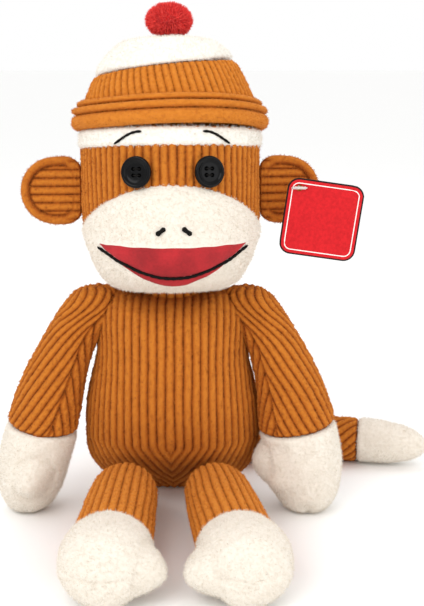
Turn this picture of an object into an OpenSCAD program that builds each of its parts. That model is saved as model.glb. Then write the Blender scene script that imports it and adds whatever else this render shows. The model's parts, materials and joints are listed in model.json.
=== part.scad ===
// Sitting stuffed monkey: corduroy-knit body, plush muzzle, paws and hat, button eyes.
// +Z is up, -Y is the front, +X is the monkey's own left. The origin is on the flat seat.

/* [Body] */
// Thickness of the knit and plush covers
cover = 2.0; // [1.2:0.1:2.4]
// Space between a cover and its stuffing
ease = 0.8; // [0.6:0.1:1]
// Points round a half section
half_points = 10; // [8:1:14]

/* [Head] */
// How far the head leans back, degrees
head_lean = 7; // [0:1:8]
// How far the face is turned to the monkey's own left, degrees
head_turn = 3.4; // [0:0.2:5]
// Height of the middle of the head
head_mid = 172; // [171.5:0.1:173]
// Button eye diameter
eye_d = 16.2; // [14:0.1:17]
// Distance of each eye from the middle of the face
eye_x = 17.1; // [15:0.1:19]
// Pompom radius
pompom_r = 13.2; // [11:0.1:14]

/* [Ears] */
// Distance of the fold line from the middle
ear_x = 54; // [53.5:0.1:56]
// Radius of the ear lobe
ear_r = 18.5; // [16:0.5:20]
// Thickness of one ear cover
ear_t = 4.6; // [3:0.1:5]

/* [Legs] */
// Distance of each hip from the middle
hip_x = 24; // [23:0.5:26]
// Hip axis behind the front of the seat
hip_y = -62; // [-65:0.5:-62]
// Hip axis above the floor
hip_z = 20; // [20:0.1:22]
// Outward turn of the monkey's own left leg, degrees
splay_left = 9; // [5:1:11]
// Outward turn of the monkey's own right leg, degrees
splay_right = 2; // [1:1:6]

/* [Tag] */
// Length and width of the swing tag
tag_size = 40; // [34:1:44]
// Thickness of the folded card
tag_t = 1.0; // [0.8:0.1:1.6]
// Radius of the hole in the card
tag_hole_r = 1.8; // [1.5:0.1:2.5]

/* [Hidden] */
SIDES = ["left", "right"];
RUST = "chocolate";
CREAM = "antiquewhite";
RED = "crimson";
BLACK = "black";
FILL = "whitesmoke";
SEAM = 0.15;            // half the space left along a seam
AXIAL = 0.6;            // degrees left on each side of a lengthwise seam
EAR_PLUG = 2.5;         // how far the ear starts inside its fold line
EAR_MIDDLE = 8;         // from the fold line out to the middle of the ear
CHEST_Y = -27;          // the chest's middle is this far in front of the seat's
NECK_Z = 121.4;         // height of the neck seam
NECK_Y = -21;           // the neck sits over the middle of the chest, in front of the seat

// ---- tables of cross sections: height, half width, front, back and, for the torso, its own middle ----
TORSO = [
    [0, 1, 4, 6, 5], [0, 26, -7, 11, 5], [4, 34, -12, 11.4, 0], [10, 39.5, -22, 11.6, -7],
    [17, 43.2, -34, 12.4, -12], [25, 45.4, -46, 13.2, -17], [34, 46.4, -54.5, 14, -20], [48, 46.5, -61, 14, -21],
    [62, 45.6, -64, 12.5, -21], [78, 43.4, -62.5, 10.5, -21], [94, 40.8, -59.5, 7.5, -21], [106, 39, -55.5, 5, -21],
    [113, 37, -51, 2.5, -21], [117.5, 31, -43, -4, -21], [119.8, 19, -33, -12, -21], [120.3, 1, -22, -20, -21]
];
HEAD = [
    [123.6, 1, -3, 1], [124, 16, -20, 14], [125.5, 27, -33, 24], [129.5, 35, -44, 32],
    [136, 39, -50, 36.5], [142, 41.8, -52.5, 39.5], [150, 45.2, -53.5, 42.5], [158, 47.4, -52.5, 44.5],
    [168, 47.8, -50.5, 45.5], [178, 47.8, -49, 46], [188, 47.8, -48, 46], [198, 47.6, -47, 45.5],
    [206.8, 46.6, -45.8, 44.6]
];
HEAD_CORE = [
    [125.2, 1, -3, 1], [126, 12, -16, 10], [129, 28, -36, 25], [136, 36, -46, 33.5], [150, 42, -50, 39.5],
    [168, 44.7, -47.5, 42.5], [188, 44.7, -45, 43], [204, 43.5, -43, 41.5], [208, 37, -37, 36],
    [219, 31, -31, 31], [219.5, 1, -1, 1]
];
HAT = [
    [220.8, 45], [226, 43.6], [231, 41], [237, 38], [243, 34], [249, 28.6], [252, 23.5], [253.6, 16],
    [253.9, 1]
];
// ---- cross sections along the limbs: position, centre across, half width, centre and half depth ----
ARM_LEFT = [
    [124, 43, 2, -2, 3], [122, 44, 6, -2, 7.5], [117, 46.8, 9, -2, 11], [108, 51.2, 11.2, -2.5, 13],
    [98, 54.9, 13.2, -3.5, 14.5], [84, 60, 16.2, -5, 16.5], [70, 64.5, 18.4, -7, 18],
    [56, 67.4, 20.4, -9, 19.5], [47, 68.6, 20.8, -10, 20.3]
];
ARM_RIGHT = [
    [124, 43, 2, -2, 3], [122, 44, 6, -2, 7.5], [117, 46.8, 9, -2, 11], [108, 51.2, 11.2, -2.5, 13],
    [98, 55.1, 13.2, -3.5, 14.5], [84, 60.6, 16, -5, 16.5], [70, 65.4, 17.8, -7, 18],
    [56, 69.2, 19.2, -9, 19.3], [47, 70.9, 19.4, -10, 19.9]
];
PAW_LEFT = [
    [46.7, 68.7, 20.8, -10, 20.4], [39, 70, 21.2, -10.5, 21], [30, 71.5, 21.2, -11, 21.5],
    [20, 72.8, 19.6, -11, 21], [11, 73.8, 17, -11, 19], [4.5, 74.3, 13.6, -11, 15],
    [1, 74.5, 9.6, -11, 10], [0, 74.5, 6, -11, 6], [0, 74.5, 1, -11, 1]
];
PAW_RIGHT = [
    [46.7, 71, 19.4, -10, 20], [39, 73, 19.4, -10.5, 20.4], [30, 75, 18.8, -11, 20.6],
    [20, 76.8, 17.8, -11, 20], [11, 78.4, 15.6, -11, 18.2], [4.5, 79.4, 12, -11, 14.5],
    [1, 80, 8, -11, 9.5], [0, 80.2, 5, -11, 6], [0, 80.2, 1, -11, 1]
];
// The last column is the height of the section's middle above the floor.
LEG = [
    [14.6, 2, 1.6, 20], [13, 8, 6, 20], [8, 13.5, 11.6, 20], [0, 16.8, 14.8, 20],
    [-20, 18, 16, 19.6], [-44, 19, 16.6, 18.2], [-66, 19.6, 17, 17.2]
];
FOOT = [
    [-66.3, 19.7, 17.1, 17.3], [-73, 20.8, 17.8, 18], [-82, 21.6, 18.4, 18.6], [-92, 21, 18.2, 18.4],
    [-99, 18, 16.6, 18], [-103.5, 12, 12, 17.6], [-105.3, 5, 6, 17.5], [-105.6, 1, 1, 17.5]
];
TAIL = [
    [-11.5, 1], [-10.4, 5], [-7, 9], [0, 11.4], [24, 12.6], [52, 13.4], [84, 13.4], [112, 13.2]
];
TAIL_TIP = [
    [112.3, 13.2], [122, 13], [134, 12], [146, 9.6], [154, 6], [157, 1]
];

// ---- small functions ----
function column(table, k) = [for (row = table) [row[0], row[k]]];
function split(a) = cos(a) >= 0 ? 1 : 0;
function across(w, a) = w * sin(a);
// A point of an oval section with its own front and back; a = 0 looks to the front.
function oval(z, w, front, back, a, d, mid) = [
    across(max(w - d, 0.6), a),
    split(a) ? mid - max(mid - front - d, 0.6) * cos(a) : mid + max(back - mid - d, 0.6) * -cos(a),
    z
];
// A thumb's swelling on a paw or foot: its height, its bearing and its place along the limb.
function swelling(a, at, place, bearing, height, wide, long) =
    let (turn = ((a - bearing + 540) % 360) - 180)
        height * exp(-pow(turn / wide, 2) - pow((at - place) / long, 2));

// ---- solids from grids of points ----
// Walls between two grids of rows, outside and inside, open or closed round the section.
module shell(outer, inner, round = false) {
    rows = len(outer);
    cols = len(outer[0]);
    n = rows * cols;
    turns = round ? cols : cols - 1;
    pts = concat([for (r = outer) each r], [for (r = inner) each r]);
    function at(i, j, k) = k * n + i * cols + (j % cols);
    sides = [for (i = [0:rows - 2], j = [0:turns - 1]) each [
        [at(i, j, 0), at(i + 1, j, 0), at(i + 1, j + 1, 0)], [at(i, j, 0), at(i + 1, j + 1, 0), at(i, j + 1, 0)],
        [at(i, j, 1), at(i + 1, j + 1, 1), at(i + 1, j, 1)], [at(i, j, 1), at(i, j + 1, 1), at(i + 1, j + 1, 1)]
    ]];
    rims = [for (j = [0:turns - 1]) each [
        [at(0, j, 0), at(0, j + 1, 0), at(0, j + 1, 1)], [at(0, j, 0), at(0, j + 1, 1), at(0, j, 1)],
        [at(rows - 1, j, 0), at(rows - 1, j + 1, 1), at(rows - 1, j + 1, 0)],
        [at(rows - 1, j, 0), at(rows - 1, j, 1), at(rows - 1, j + 1, 1)]
    ]];
    ends = round ? [] : [for (i = [0:rows - 2]) each [
        [at(i, 0, 0), at(i, 0, 1), at(i + 1, 0, 1)], [at(i, 0, 0), at(i + 1, 0, 1), at(i + 1, 0, 0)],
        [at(i, cols - 1, 0), at(i + 1, cols - 1, 1), at(i, cols - 1, 1)],
        [at(i, cols - 1, 0), at(i + 1, cols - 1, 0), at(i + 1, cols - 1, 1)]
    ]];
    polyhedron(pts, concat(sides, rims, ends));
}
// A closed solid through rings of points, capped at both ends.
module solid(rings) {
    rows = len(rings);
    cols = len(rings[0]);
    pts = [for (r = rings) each r];
    sides = [for (i = [0:rows - 2], j = [0:cols - 1]) let (k = (j + 1) % cols) each [
        [i * cols + j, (i + 1) * cols + j, (i + 1) * cols + k], [i * cols + j, (i + 1) * cols + k, i * cols + k]
    ]];
    bottom = [[for (j = [0:cols - 1]) j]];
    top = [[for (j = [cols - 1:-1:0]) (rows - 1) * cols + j]];
    polyhedron(pts, concat(sides, bottom, top));
}
function half(a0, a1) = let (gap = AXIAL * sign(a1 - a0))
    [for (i = [0:half_points]) a0 + gap + (a1 - a0 - 2 * gap) * i / half_points];
function all_round(n) = [for (i = [0:n - 1]) 360 * i / n];
// Keeps an inner surface off the ends of a table of sections.
function inset(z, table, d) = min(max(z, min(table[0][0], table[len(table) - 1][0]) + d),
    max(table[0][0], table[len(table) - 1][0]) - d);

// ---- torso ----
function torso_rows(angles, d) = [for (s = TORSO) [for (a = angles)
    oval(inset(s[0], TORSO, d), s[1], s[2], s[3], a, d, s[4])]];
module torso_panel(a0, a1) {
    shell(torso_rows(half(a0, a1), 0), torso_rows(half(a0, a1), cover));
}
module torso_front() { color(RUST) torso_panel(-90, 90); }
module torso_back() { color(RUST) torso_panel(90, 270); }
module torso_stuffing() {
    color(FILL) solid(torso_rows(all_round(20), cover + ease));
}
module neck_ring() {
    color(RUST) translate([0, NECK_Y, NECK_Z - 0.5]) cylinder(h = 0.8, r = 5, $fn = 48);
}

// ---- head, drawn upright and then leaned back and turned ----
module head_pose() {
    translate([0, CHEST_Y, head_mid]) rotate([-head_lean, 0, head_turn]) translate([0, 0, -head_mid]) children();
}
HEAD_W = column(HEAD, 1);
HEAD_F = column(HEAD, 2);
HEAD_B = column(HEAD, 3);
function head_point(a, z, d) = oval(max(z, HEAD[0][0] + d), lookup(z, HEAD_W), lookup(z, HEAD_F),
    lookup(z, HEAD_B), a, d, 0);
// A patch of the head between two heights that may change with the angle.
module head_patch(angles, low, high, out, in, rows = 7, bias = 1) {
    grid = function (d) [for (i = [0:rows]) [for (a = angles)
        head_point(a, low(a) + (high(a) - low(a)) * pow(i / rows, bias), d)]];
    shell(grid(out), grid(in));
}
FACE_HALF = 86;         // the side seams of the face
BAND_Z = 196.8;         // seam between face band and forehead
head_low = function (a) HEAD[0][0] + 0.2;
muzzle_top = function (a) 155 + 23 * pow(max(cos(a), 0.01), 1.4);
module muzzle() {
    color(CREAM) head_pose()
        head_patch(half(-FACE_HALF, FACE_HALF), head_low, function (a) muzzle_top(a) - SEAM, 0, cover,
            rows = 11, bias = 1.5);
}
module head_face_band() {
    color(RUST) head_pose() head_patch(half(-FACE_HALF, FACE_HALF), function (a) muzzle_top(a) + SEAM,
        function (a) BAND_Z - SEAM, 0, cover, rows = 5);
}
module head_forehead() {
    color(CREAM) head_pose() head_patch(half(-FACE_HALF, FACE_HALF), function (a) BAND_Z + SEAM,
        function (a) HEAD[len(HEAD) - 1][0], 0, cover, rows = 2);
}
module head_back() {
    color(RUST) head_pose() head_patch(half(FACE_HALF, 360 - FACE_HALF), head_low,
        function (a) HEAD[len(HEAD) - 1][0], 0, cover, rows = 12, bias = 1.5);
}
module head_stuffing() {
    color(FILL) head_pose() solid([for (s = HEAD_CORE) [for (a = all_round(20))
        oval(s[0], s[1], s[2], s[3], a, 0, 0)]]);
}
// The mouth is a red crescent on the muzzle, with the smile stitched across it.
MOUTH_HALF = 50;
mouth_rise = function (a) pow(sin(a) / sin(MOUTH_HALF), 2);
mouth_angles = [for (i = [-6:6]) i * MOUTH_HALF / 6];
module mouth() {
    color(RED) head_pose() head_patch(mouth_angles, function (a) 129.5 + 20.6 * mouth_rise(a),
        function (a) 148 + 2.6 * mouth_rise(a), -cover, -0.4, rows = 4);
}
// A round thread laid through a run of points.
module thread(path, r, sides = 6) {
    n = len(path);
    solid([for (i = [0:n - 1]) let (
        ahead = path[min(i + 1, n - 1)] - path[max(i - 1, 0)],
        u = cross(ahead, [0, 1, 0]), u1 = u / norm(u), v = cross(u1, ahead), v1 = v / norm(v))
        [for (k = [0:sides - 1]) path[i] + r * (cos(360 * k / sides) * u1 + sin(360 * k / sides) * v1)]]);
}
module smile_thread() {
    color(BLACK) head_pose() thread([for (i = [-7:7]) let (a = i * 47 / 7)
        head_point(a, 134 + 15.5 * mouth_rise(a), -cover - 1.1)], 0.6);
}
module nostril(side) {
    color(BLACK) head_pose() translate(head_point(side * 6.3, 154.5, -1.5)) rotate([0, side * 60, 0])
        hull() for (x = [-1, 1]) translate([x, 0, 0]) sphere(r = 1, $fn = 12);
}
module nostril_left() { nostril(1); }
module nostril_right() { nostril(-1); }
module brow(side) {
    color(BLACK) head_pose() thread([for (i = [0:6]) let (t = i / 6, a = 36 - 18 * t)
        head_point(side * a, 198 + 5.6 * sin(90 * t), -0.9)], 0.55);
}
module brow_left() { brow(1); }
module brow_right() { brow(-1); }
// Button eyes: a four-hole button with a raised rim, tangent to the face.
EYE_Z = 184;
EYE_BEARING = asin(eye_x / 47.8);
HOLE_AT = 1.5;
module eye_pose(side) {
    head_pose() translate(head_point(side * EYE_BEARING, EYE_Z, -0.9))
        rotate([90, 0, side * (EYE_BEARING - 4)]) children();
}
module button_holes(r) {
    for (x = [-HOLE_AT, HOLE_AT], y = [-HOLE_AT, HOLE_AT]) translate([x, y, -1]) cylinder(h = 6, r = r, $fn = 24);
}
module eye_button(side) {
    color(BLACK) eye_pose(side) difference() {
        cylinder(h = 3, r = eye_d / 2, $fn = 64);
        translate([0, 0, 2]) cylinder(h = 2, r = eye_d / 2 - 2, $fn = 64);
        button_holes(0.8);
    }
}
module eye_button_left() { eye_button(1); }
module eye_button_right() { eye_button(-1); }
module eye_thread(side) {
    color(BLACK) eye_pose(side) for (y = [-HOLE_AT, HOLE_AT]) {
        translate([-HOLE_AT - 0.4, y - 0.4, 2.2]) cube([2 * HOLE_AT + 0.8, 0.8, 0.7]);
        for (x = [-HOLE_AT, HOLE_AT]) translate([x, y, 0]) cylinder(h = 2.4, r = 0.4, $fn = 24);
    }
}
module eye_thread_left() { eye_thread(1); }
module eye_thread_right() { eye_thread(-1); }

// ---- hat ----
HAT_W = column(HAT, 1);
HAT_DEEP = 0.97;        // front to back against side to side
function hat_point(a, z, d) = let (w = max(lookup(z, HAT_W) - d, 0.6))
    [w * sin(a), -HAT_DEEP * w * cos(a), min(z, HAT[len(HAT) - 1][0] - d)];
hat_seam = function (a) 239.5 + 4 * sin(a);
HAT_TURNS = 24;
module hat_band() {
    grid = function (d) [for (i = [0:5]) [for (a = all_round(HAT_TURNS))
        hat_point(a, HAT[0][0] + (hat_seam(a) - SEAM - HAT[0][0]) * i / 5, d)]];
    color(RUST) head_pose() shell(grid(0), grid(cover), round = true);
}
module hat_crown() {
    top = HAT[len(HAT) - 1][0];
    grid = function (d) [for (i = [0:6]) [for (a = all_round(HAT_TURNS))
        let (low = hat_seam(a) + SEAM) hat_point(a, low + (top - low) * pow(i / 6, 0.7), d)]];
    color(CREAM) head_pose() shell(grid(0), grid(cover), round = true);
}
module hat_stuffing() {
    color(FILL) head_pose() solid([for (s = HAT) [for (a = all_round(20))
        hat_point(a, s[0], cover + ease)]]);
}
BRIM_Z = 213.8;
module hat_brim() {
    color(RUST) head_pose() translate([0, 0, BRIM_Z]) rotate_extrude($fn = 96)
        translate([45.4, 0]) offset(r = 3) square([5.4, 6.6], center = true);
}
// ---- pompom on its tie ----
POMPOM_Z = 259.6;
TIE_Z = 254.2;
module pompom_tie() {
    color(RED) head_pose() translate([0, 0, TIE_Z]) cylinder(h = 1.2, r = 1.5, $fn = 32);
}
module pompom() {
    arc = [for (i = [0:12]) let (a = -5 + 95 * i / 12) [pompom_r * cos(a), POMPOM_Z + pompom_r * sin(a)]];
    color(RED) head_pose() rotate_extrude($fn = 64)
        polygon(concat([[0, TIE_Z + 1.9], [7, TIE_Z + 1.9]], arc, [[0, POMPOM_Z + pompom_r]]));
}

// ---- ears: two covers, front and back, folded about an upright line at the head ----
EAR_Z = 175.5;
EAR_Y = -4;
module ear_outline() {
    intersection() {
        translate([EAR_MIDDLE, 0]) circle(r = ear_r, $fn = 64);
        translate([-EAR_PLUG, -ear_r]) square([3 * ear_r, 2 * ear_r]);
    }
}
module ear_cover(side, y) {
    head_pose() translate([side * ear_x, EAR_Y + y, EAR_Z]) mirror([side < 0 ? 1 : 0, 0, 0])
        rotate([90, 0, 0]) translate([0, 0, -ear_t / 2]) linear_extrude(ear_t) ear_outline();
}
EAR_HALF = ear_t / 2 + 0.1;
module ear_left_front() { color(RUST) ear_cover(1, -EAR_HALF); }
module ear_left_back() { color(RUST) ear_cover(1, EAR_HALF); }
module ear_right_front() { color(RUST) ear_cover(-1, -EAR_HALF); }
module ear_right_back() { color(RUST) ear_cover(-1, EAR_HALF); }

// ---- arms: outer and inner panel, paw in two panels, one stuffing ----
function limb_ring(s, angles, d, side, swell) = [for (a = angles) let (
    w = max(s[2] - d, 0.6) + swell(a, s[0]), h = max(s[4] - d, 0.6) + swell(a, s[0]))
    [side * (s[1] + w * sin(a)), CHEST_Y + s[3] - h * cos(a), s[0]]];
function paw_z(z, d) = max(z, d);
no_swell = function (a, at) 0;
thumb_left = function (a, at) swelling(a, at, 23, 298, 6.5, 24, 8);
thumb_right = function (a, at) swelling(a, at, 21, 8, 6, 24, 8);
// The right arm is the mirror image of the left one, so its rows run the other way round.
module mirrored(side) { mirror([side < 0 ? 1 : 0, 0, 0]) children(); }
function arm_table(side) = side > 0 ? ARM_LEFT : ARM_RIGHT;
function paw_table(side) = side > 0 ? PAW_LEFT : PAW_RIGHT;
SHOULDER_TOP = ARM_LEFT[0][0];
module arm_panel(side, a0, a1) {
    grid = function (d) [for (s = arm_table(side)) limb_ring([inset(s[0], [[0], [SHOULDER_TOP]], d),
        s[1], s[2], s[3], s[4]], half(a1, a0), d, 1, no_swell)];
    mirrored(side) shell(grid(0), grid(cover));
}
module paw_panel(side, a0, a1, thumb) {
    grid = function (d) [for (s = paw_table(side)) limb_ring([paw_z(s[0], d), s[1], s[2], s[3], s[4]],
        half(a1, a0), d, 1, thumb)];
    mirrored(side) shell(grid(0), grid(cover));
}
module arm_stuffing(side) {
    d = cover + ease;
    paw = paw_table(side);
    rings = concat([for (s = arm_table(side)) [min(s[0], SHOULDER_TOP - d), s[1], s[2], s[3], s[4]]],
        [for (s = [for (i = [1:len(paw) - 1]) paw[i]]) [max(s[0], d), s[1], s[2], s[3], s[4]]]);
    mirrored(side) solid([for (s = rings) limb_ring(s, [for (a = all_round(16)) -a], d, 1, no_swell)]);
}
module arm_left_outer() { color(RUST) arm_panel(1, 0, 180); }
module arm_left_inner() { color(RUST) arm_panel(1, 180, 360); }
module paw_left_back() { color(CREAM) paw_panel(1, 0, 180, thumb_left); }
module paw_left_palm() { color(CREAM) paw_panel(1, 180, 360, thumb_left); }
module arm_left_stuffing() { color(FILL) arm_stuffing(1); }
module arm_right_outer() { color(RUST) arm_panel(-1, 0, 180); }
module arm_right_inner() { color(RUST) arm_panel(-1, 180, 360); }
module paw_right_back() { color(CREAM) paw_panel(-1, 0, 180, thumb_right); }
module paw_right_palm() { color(CREAM) paw_panel(-1, 180, 360, thumb_right); }
module arm_right_stuffing() { color(FILL) arm_stuffing(-1); }

// ---- legs, drawn along Y from the hip and then placed and splayed ----
module leg_pose(side) {
    translate([side * hip_x, hip_y, hip_z]) rotate([0, 0, side * (side > 0 ? splay_left : splay_right)])
        mirrored(side) children();
}
thumb_foot = function (a, at) swelling(a, at, -88, 256, 9, 22, 7.5);
// A section of a leg or foot: a = 0 is the top and 90 the outside.
function leg_ring(s, angles, d, swell) = [for (a = angles) let (
    w = max(s[1] - d, 0.6) + swell(a, s[0]), h = max(s[2] - d, 0.6))
    [w * sin(a), s[0], s[3] - hip_z + h * cos(a)]];
function leg_grid(table, angles, d, swell, front) = [for (s = table)
    leg_ring([min(max(s[0], front), LEG[0][0] - d), s[1], s[2], s[3]], angles, d, swell)];
module leg_cover(side) {
    leg_pose(side) shell(leg_grid(LEG, all_round(20), 0, no_swell, -200),
        leg_grid(LEG, all_round(20), cover, no_swell, -200), round = true);
}
module foot_panel(side, a0, a1) {
    front = FOOT[len(FOOT) - 1][0];
    leg_pose(side) shell(leg_grid(FOOT, half(a0, a1), 0, thumb_foot, -200),
        leg_grid(FOOT, half(a0, a1), cover, thumb_foot, front + cover));
}
module leg_stuffing(side) {
    d = cover + ease;
    front = FOOT[len(FOOT) - 1][0] + d;
    leg_pose(side) solid(concat(leg_grid(LEG, all_round(16), d, no_swell, front),
        leg_grid([for (i = [1:len(FOOT) - 1]) FOOT[i]], all_round(16), d, no_swell, front)));
}
module leg_left_cover() { color(RUST) leg_cover(1); }
module foot_left_upper() { color(CREAM) foot_panel(1, -90, 90); }
module foot_left_sole() { color(CREAM) foot_panel(1, 90, 270); }
module leg_left_stuffing() { color(FILL) leg_stuffing(1); }
module leg_right_cover() { color(RUST) leg_cover(-1); }
module foot_right_upper() { color(CREAM) foot_panel(-1, -90, 90); }
module foot_right_sole() { color(CREAM) foot_panel(-1, 90, 270); }
module leg_right_stuffing() { color(FILL) leg_stuffing(-1); }

// ---- tail: lies on the floor behind, on a curve that starts at the middle of the back ----
TAIL_ROOT_Y = 24;
TAIL_BEND = 52;         // degrees that the tail turns forward over its whole length
TAIL_START = 26;        // degrees that it first runs backward
TAIL_LENGTH = 157;
function tail_heading(s) = TAIL_START - TAIL_BEND * max(s, 0) / TAIL_LENGTH;
// Points along the curve: short chords added up from the root.
STEPS = 24;
function tail_at(s) = s <= 0
    ? [s * cos(TAIL_START), s * sin(TAIL_START)]
    : chord_sum([for (i = [0:STEPS - 1]) let (h = tail_heading((i + 0.5) * s / STEPS))
        [cos(h) * s / STEPS, sin(h) * s / STEPS]], STEPS - 1);
function chord_sum(list, i) = i < 0 ? [0, 0] : list[i] + chord_sum(list, i - 1);
function tail_ring(s, angles, d, lift) = let (c = tail_at(s[0]), h = tail_heading(s[0]), r = max(s[1] - d, 0.6))
    [for (a = angles) [c[0] - r * sin(a) * sin(h), TAIL_ROOT_Y + c[1] + r * sin(a) * cos(h), lift + r * cos(a)]];
TAIL_FLAT = 13.4;       // every ring's centre is this high, so the thickest stretch rests on the floor
function tail_grid(table, d) = [for (s = table)
    tail_ring([min(max(s[0], TAIL[0][0] + d), TAIL_LENGTH - d), s[1]], all_round(16), d, TAIL_FLAT)];
module tail_cover() { color(RUST) shell(tail_grid(TAIL, 0), tail_grid(TAIL, cover), round = true); }
module tail_tip() { color(CREAM) shell(tail_grid(TAIL_TIP, 0), tail_grid(TAIL_TIP, cover), round = true); }
module tail_stuffing() {
    d = cover + ease;
    color(FILL) solid(concat(tail_grid(TAIL, d), tail_grid([for (i = [1:len(TAIL_TIP) - 1]) TAIL_TIP[i]], d)));
}

// ---- swing tag on a plastic fastener through the front of the monkey's left ear ----
TAG_X = 67.2;
TAG_Y = -44;
TAG_Z = 178.7;
TAG_TILT = -8;
TAG_CORNER = 6;
module tag_card() {
    color(RED) translate([TAG_X, TAG_Y, TAG_Z]) rotate([90, 0, 0]) rotate([0, 0, TAG_TILT])
        linear_extrude(tag_t) difference() {
            translate([-6, -tag_size + 5]) translate([TAG_CORNER, TAG_CORNER]) union() {
                translate([-TAG_CORNER, 0]) square([tag_size, tag_size - 2 * TAG_CORNER]);
                translate([0, -TAG_CORNER]) square([tag_size - 2 * TAG_CORNER, tag_size]);
                for (x = [0, tag_size - 2 * TAG_CORNER], y = [0, tag_size - 2 * TAG_CORNER])
                    translate([x, y]) circle(r = TAG_CORNER, $fn = 48);
            }
            circle(r = tag_hole_r, $fn = 32);
        }
}
module tag_fastener() {
    color(FILL) {
        translate([TAG_X, TAG_Y + 8, TAG_Z]) rotate([90, 0, 0]) cylinder(h = 10.4, r = 0.5, $fn = 16);
        translate([TAG_X - 4.5, TAG_Y - tag_t - 1.4, TAG_Z]) rotate([0, 90, 0]) cylinder(h = 9, r = 0.7, $fn = 16);
    }
}

torso_front();
torso_back();
torso_stuffing();
neck_ring();
head_back();
head_face_band();
head_forehead();
muzzle();
head_stuffing();
mouth();
smile_thread();
nostril_left();
nostril_right();
brow_left();
brow_right();
eye_button_left();
eye_button_right();
eye_thread_left();
eye_thread_right();
hat_crown();
hat_band();
hat_brim();
hat_stuffing();
pompom_tie();
pompom();
ear_left_front();
ear_left_back();
ear_right_front();
ear_right_back();
arm_left_outer();
arm_left_inner();
paw_left_back();
paw_left_palm();
arm_left_stuffing();
arm_right_outer();
arm_right_inner();
paw_right_back();
paw_right_palm();
arm_right_stuffing();
leg_left_cover();
foot_left_upper();
foot_left_sole();
leg_left_stuffing();
leg_right_cover();
foot_right_upper();
foot_right_sole();
leg_right_stuffing();
tail_cover();
tail_tip();
tail_stuffing();
tag_card();
tag_fastener();
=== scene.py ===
import json
import math

import bmesh
import bpy
import numpy as np
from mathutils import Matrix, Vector, noise
from mathutils.bvhtree import BVHTree


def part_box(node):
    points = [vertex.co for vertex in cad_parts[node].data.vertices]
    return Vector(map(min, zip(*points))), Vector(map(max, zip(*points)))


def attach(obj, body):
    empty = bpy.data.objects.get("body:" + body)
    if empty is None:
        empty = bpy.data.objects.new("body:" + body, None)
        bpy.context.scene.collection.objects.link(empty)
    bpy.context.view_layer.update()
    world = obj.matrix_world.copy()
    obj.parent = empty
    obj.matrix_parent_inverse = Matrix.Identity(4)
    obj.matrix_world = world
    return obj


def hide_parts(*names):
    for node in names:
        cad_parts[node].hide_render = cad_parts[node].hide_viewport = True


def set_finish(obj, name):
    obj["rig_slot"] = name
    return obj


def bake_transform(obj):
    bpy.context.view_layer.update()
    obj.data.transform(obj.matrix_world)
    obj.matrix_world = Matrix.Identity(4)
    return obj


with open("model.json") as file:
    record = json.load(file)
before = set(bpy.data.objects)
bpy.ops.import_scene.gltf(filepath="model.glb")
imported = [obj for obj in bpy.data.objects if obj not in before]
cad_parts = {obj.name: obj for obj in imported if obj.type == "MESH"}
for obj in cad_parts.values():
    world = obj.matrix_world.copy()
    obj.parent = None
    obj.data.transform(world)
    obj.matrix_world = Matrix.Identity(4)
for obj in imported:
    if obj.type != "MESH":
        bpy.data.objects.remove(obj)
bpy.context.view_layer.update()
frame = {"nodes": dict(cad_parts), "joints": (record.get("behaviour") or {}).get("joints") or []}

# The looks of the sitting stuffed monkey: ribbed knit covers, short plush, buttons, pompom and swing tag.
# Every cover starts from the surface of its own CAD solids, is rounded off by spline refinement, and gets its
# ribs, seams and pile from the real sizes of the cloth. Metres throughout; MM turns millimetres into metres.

MM = 0.001
SEED = 7
JOINTS = {joint["name"]: joint for joint in frame["joints"]}

# ---- cloth ----
RIB_PITCH = 4.7 * MM        # from one rib of the body knit to the next
FACE_PITCH = 4.3 * MM       # the face band, ears and hat use a finer knit
RIB_HEIGHT = 1.25 * MM
SEAM_DEPTH = 1.6 * MM
SEAM_WIDTH = 1.5 * MM
COVER = 2.0 * MM            # thickness of a sewn-on patch
NAP_LUMP = 1.8 * MM         # the nubs along a rib
SLACK_LUMP = 20 * MM        # the slow waver of the ribs where the filling pushes
GROUND = 0.2 * MM           # the lowest that a cover may come to the floor

# ---- stage ----
CAMERA_AT = (0.022, -0.647, 0.25)
CAMERA_DOWN = 12.4          # degrees below level
CAMERA_LENS = 69.3          # on a sensor 36 mm high
LAMPS = [("key", (-0.45, -0.85, 0.8), 0.7, 5.0), ("fill", (0.75, -0.8, 0.35), 0.8, 2.6),
         ("top", (0.0, 0.35, 1.1), 0.8, 1.4)]       # name, place, size and watts
LIT_POINT = Vector((0, 0, 0.12))
FLOOR_SIZE = 12.0
FLOOR_DROP = 0.3 * MM       # the floor lies just under the feet, so the two don't flicker


# ---------------------------------------------------------------- colour and materials
def srgb(code):
    """An sRGB hex code as linear RGBA."""
    parts = [int(code[i:i + 2], 16) / 255 for i in (0, 2, 4)]
    return (*[c / 12.92 if c <= 0.04045 else ((c + 0.055) / 1.055) ** 2.4 for c in parts], 1.0)


def add(tree, kind, inputs=None, **settings):
    """Adds a node with its settings; an input is a value, or the output socket to link."""
    made = tree.nodes.new(kind)
    for key, value in settings.items():
        setattr(made, key, value)
    for key, value in (inputs or {}).items():
        if isinstance(value, bpy.types.NodeSocket):
            tree.links.new(value, made.inputs[key])
        else:
            made.inputs[key].default_value = value
    return made


def ramp(tree, factor, stops):
    """A colour ramp through (position, hex) stops."""
    made = add(tree, "ShaderNodeValToRGB", {"Fac": factor})
    elements = made.color_ramp.elements
    while len(elements) < len(stops):
        elements.new(0.5)
    for element, (position, code) in zip(elements, stops):
        element.position = position
        element.color = srgb(code)
    return made.outputs["Color"]


def finish_of(name, roughness, **sockets):
    """A new material with its shader's constants set; the pattern is linked by the caller."""
    made = bpy.data.materials.new(name)
    made.use_nodes = True
    shader = made.node_tree.nodes["Principled BSDF"]
    shader.inputs["Roughness"].default_value = roughness
    for key, value in sockets.items():
        shader.inputs[key.replace("_", " ")].default_value = value
    return made, made.node_tree, shader


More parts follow.
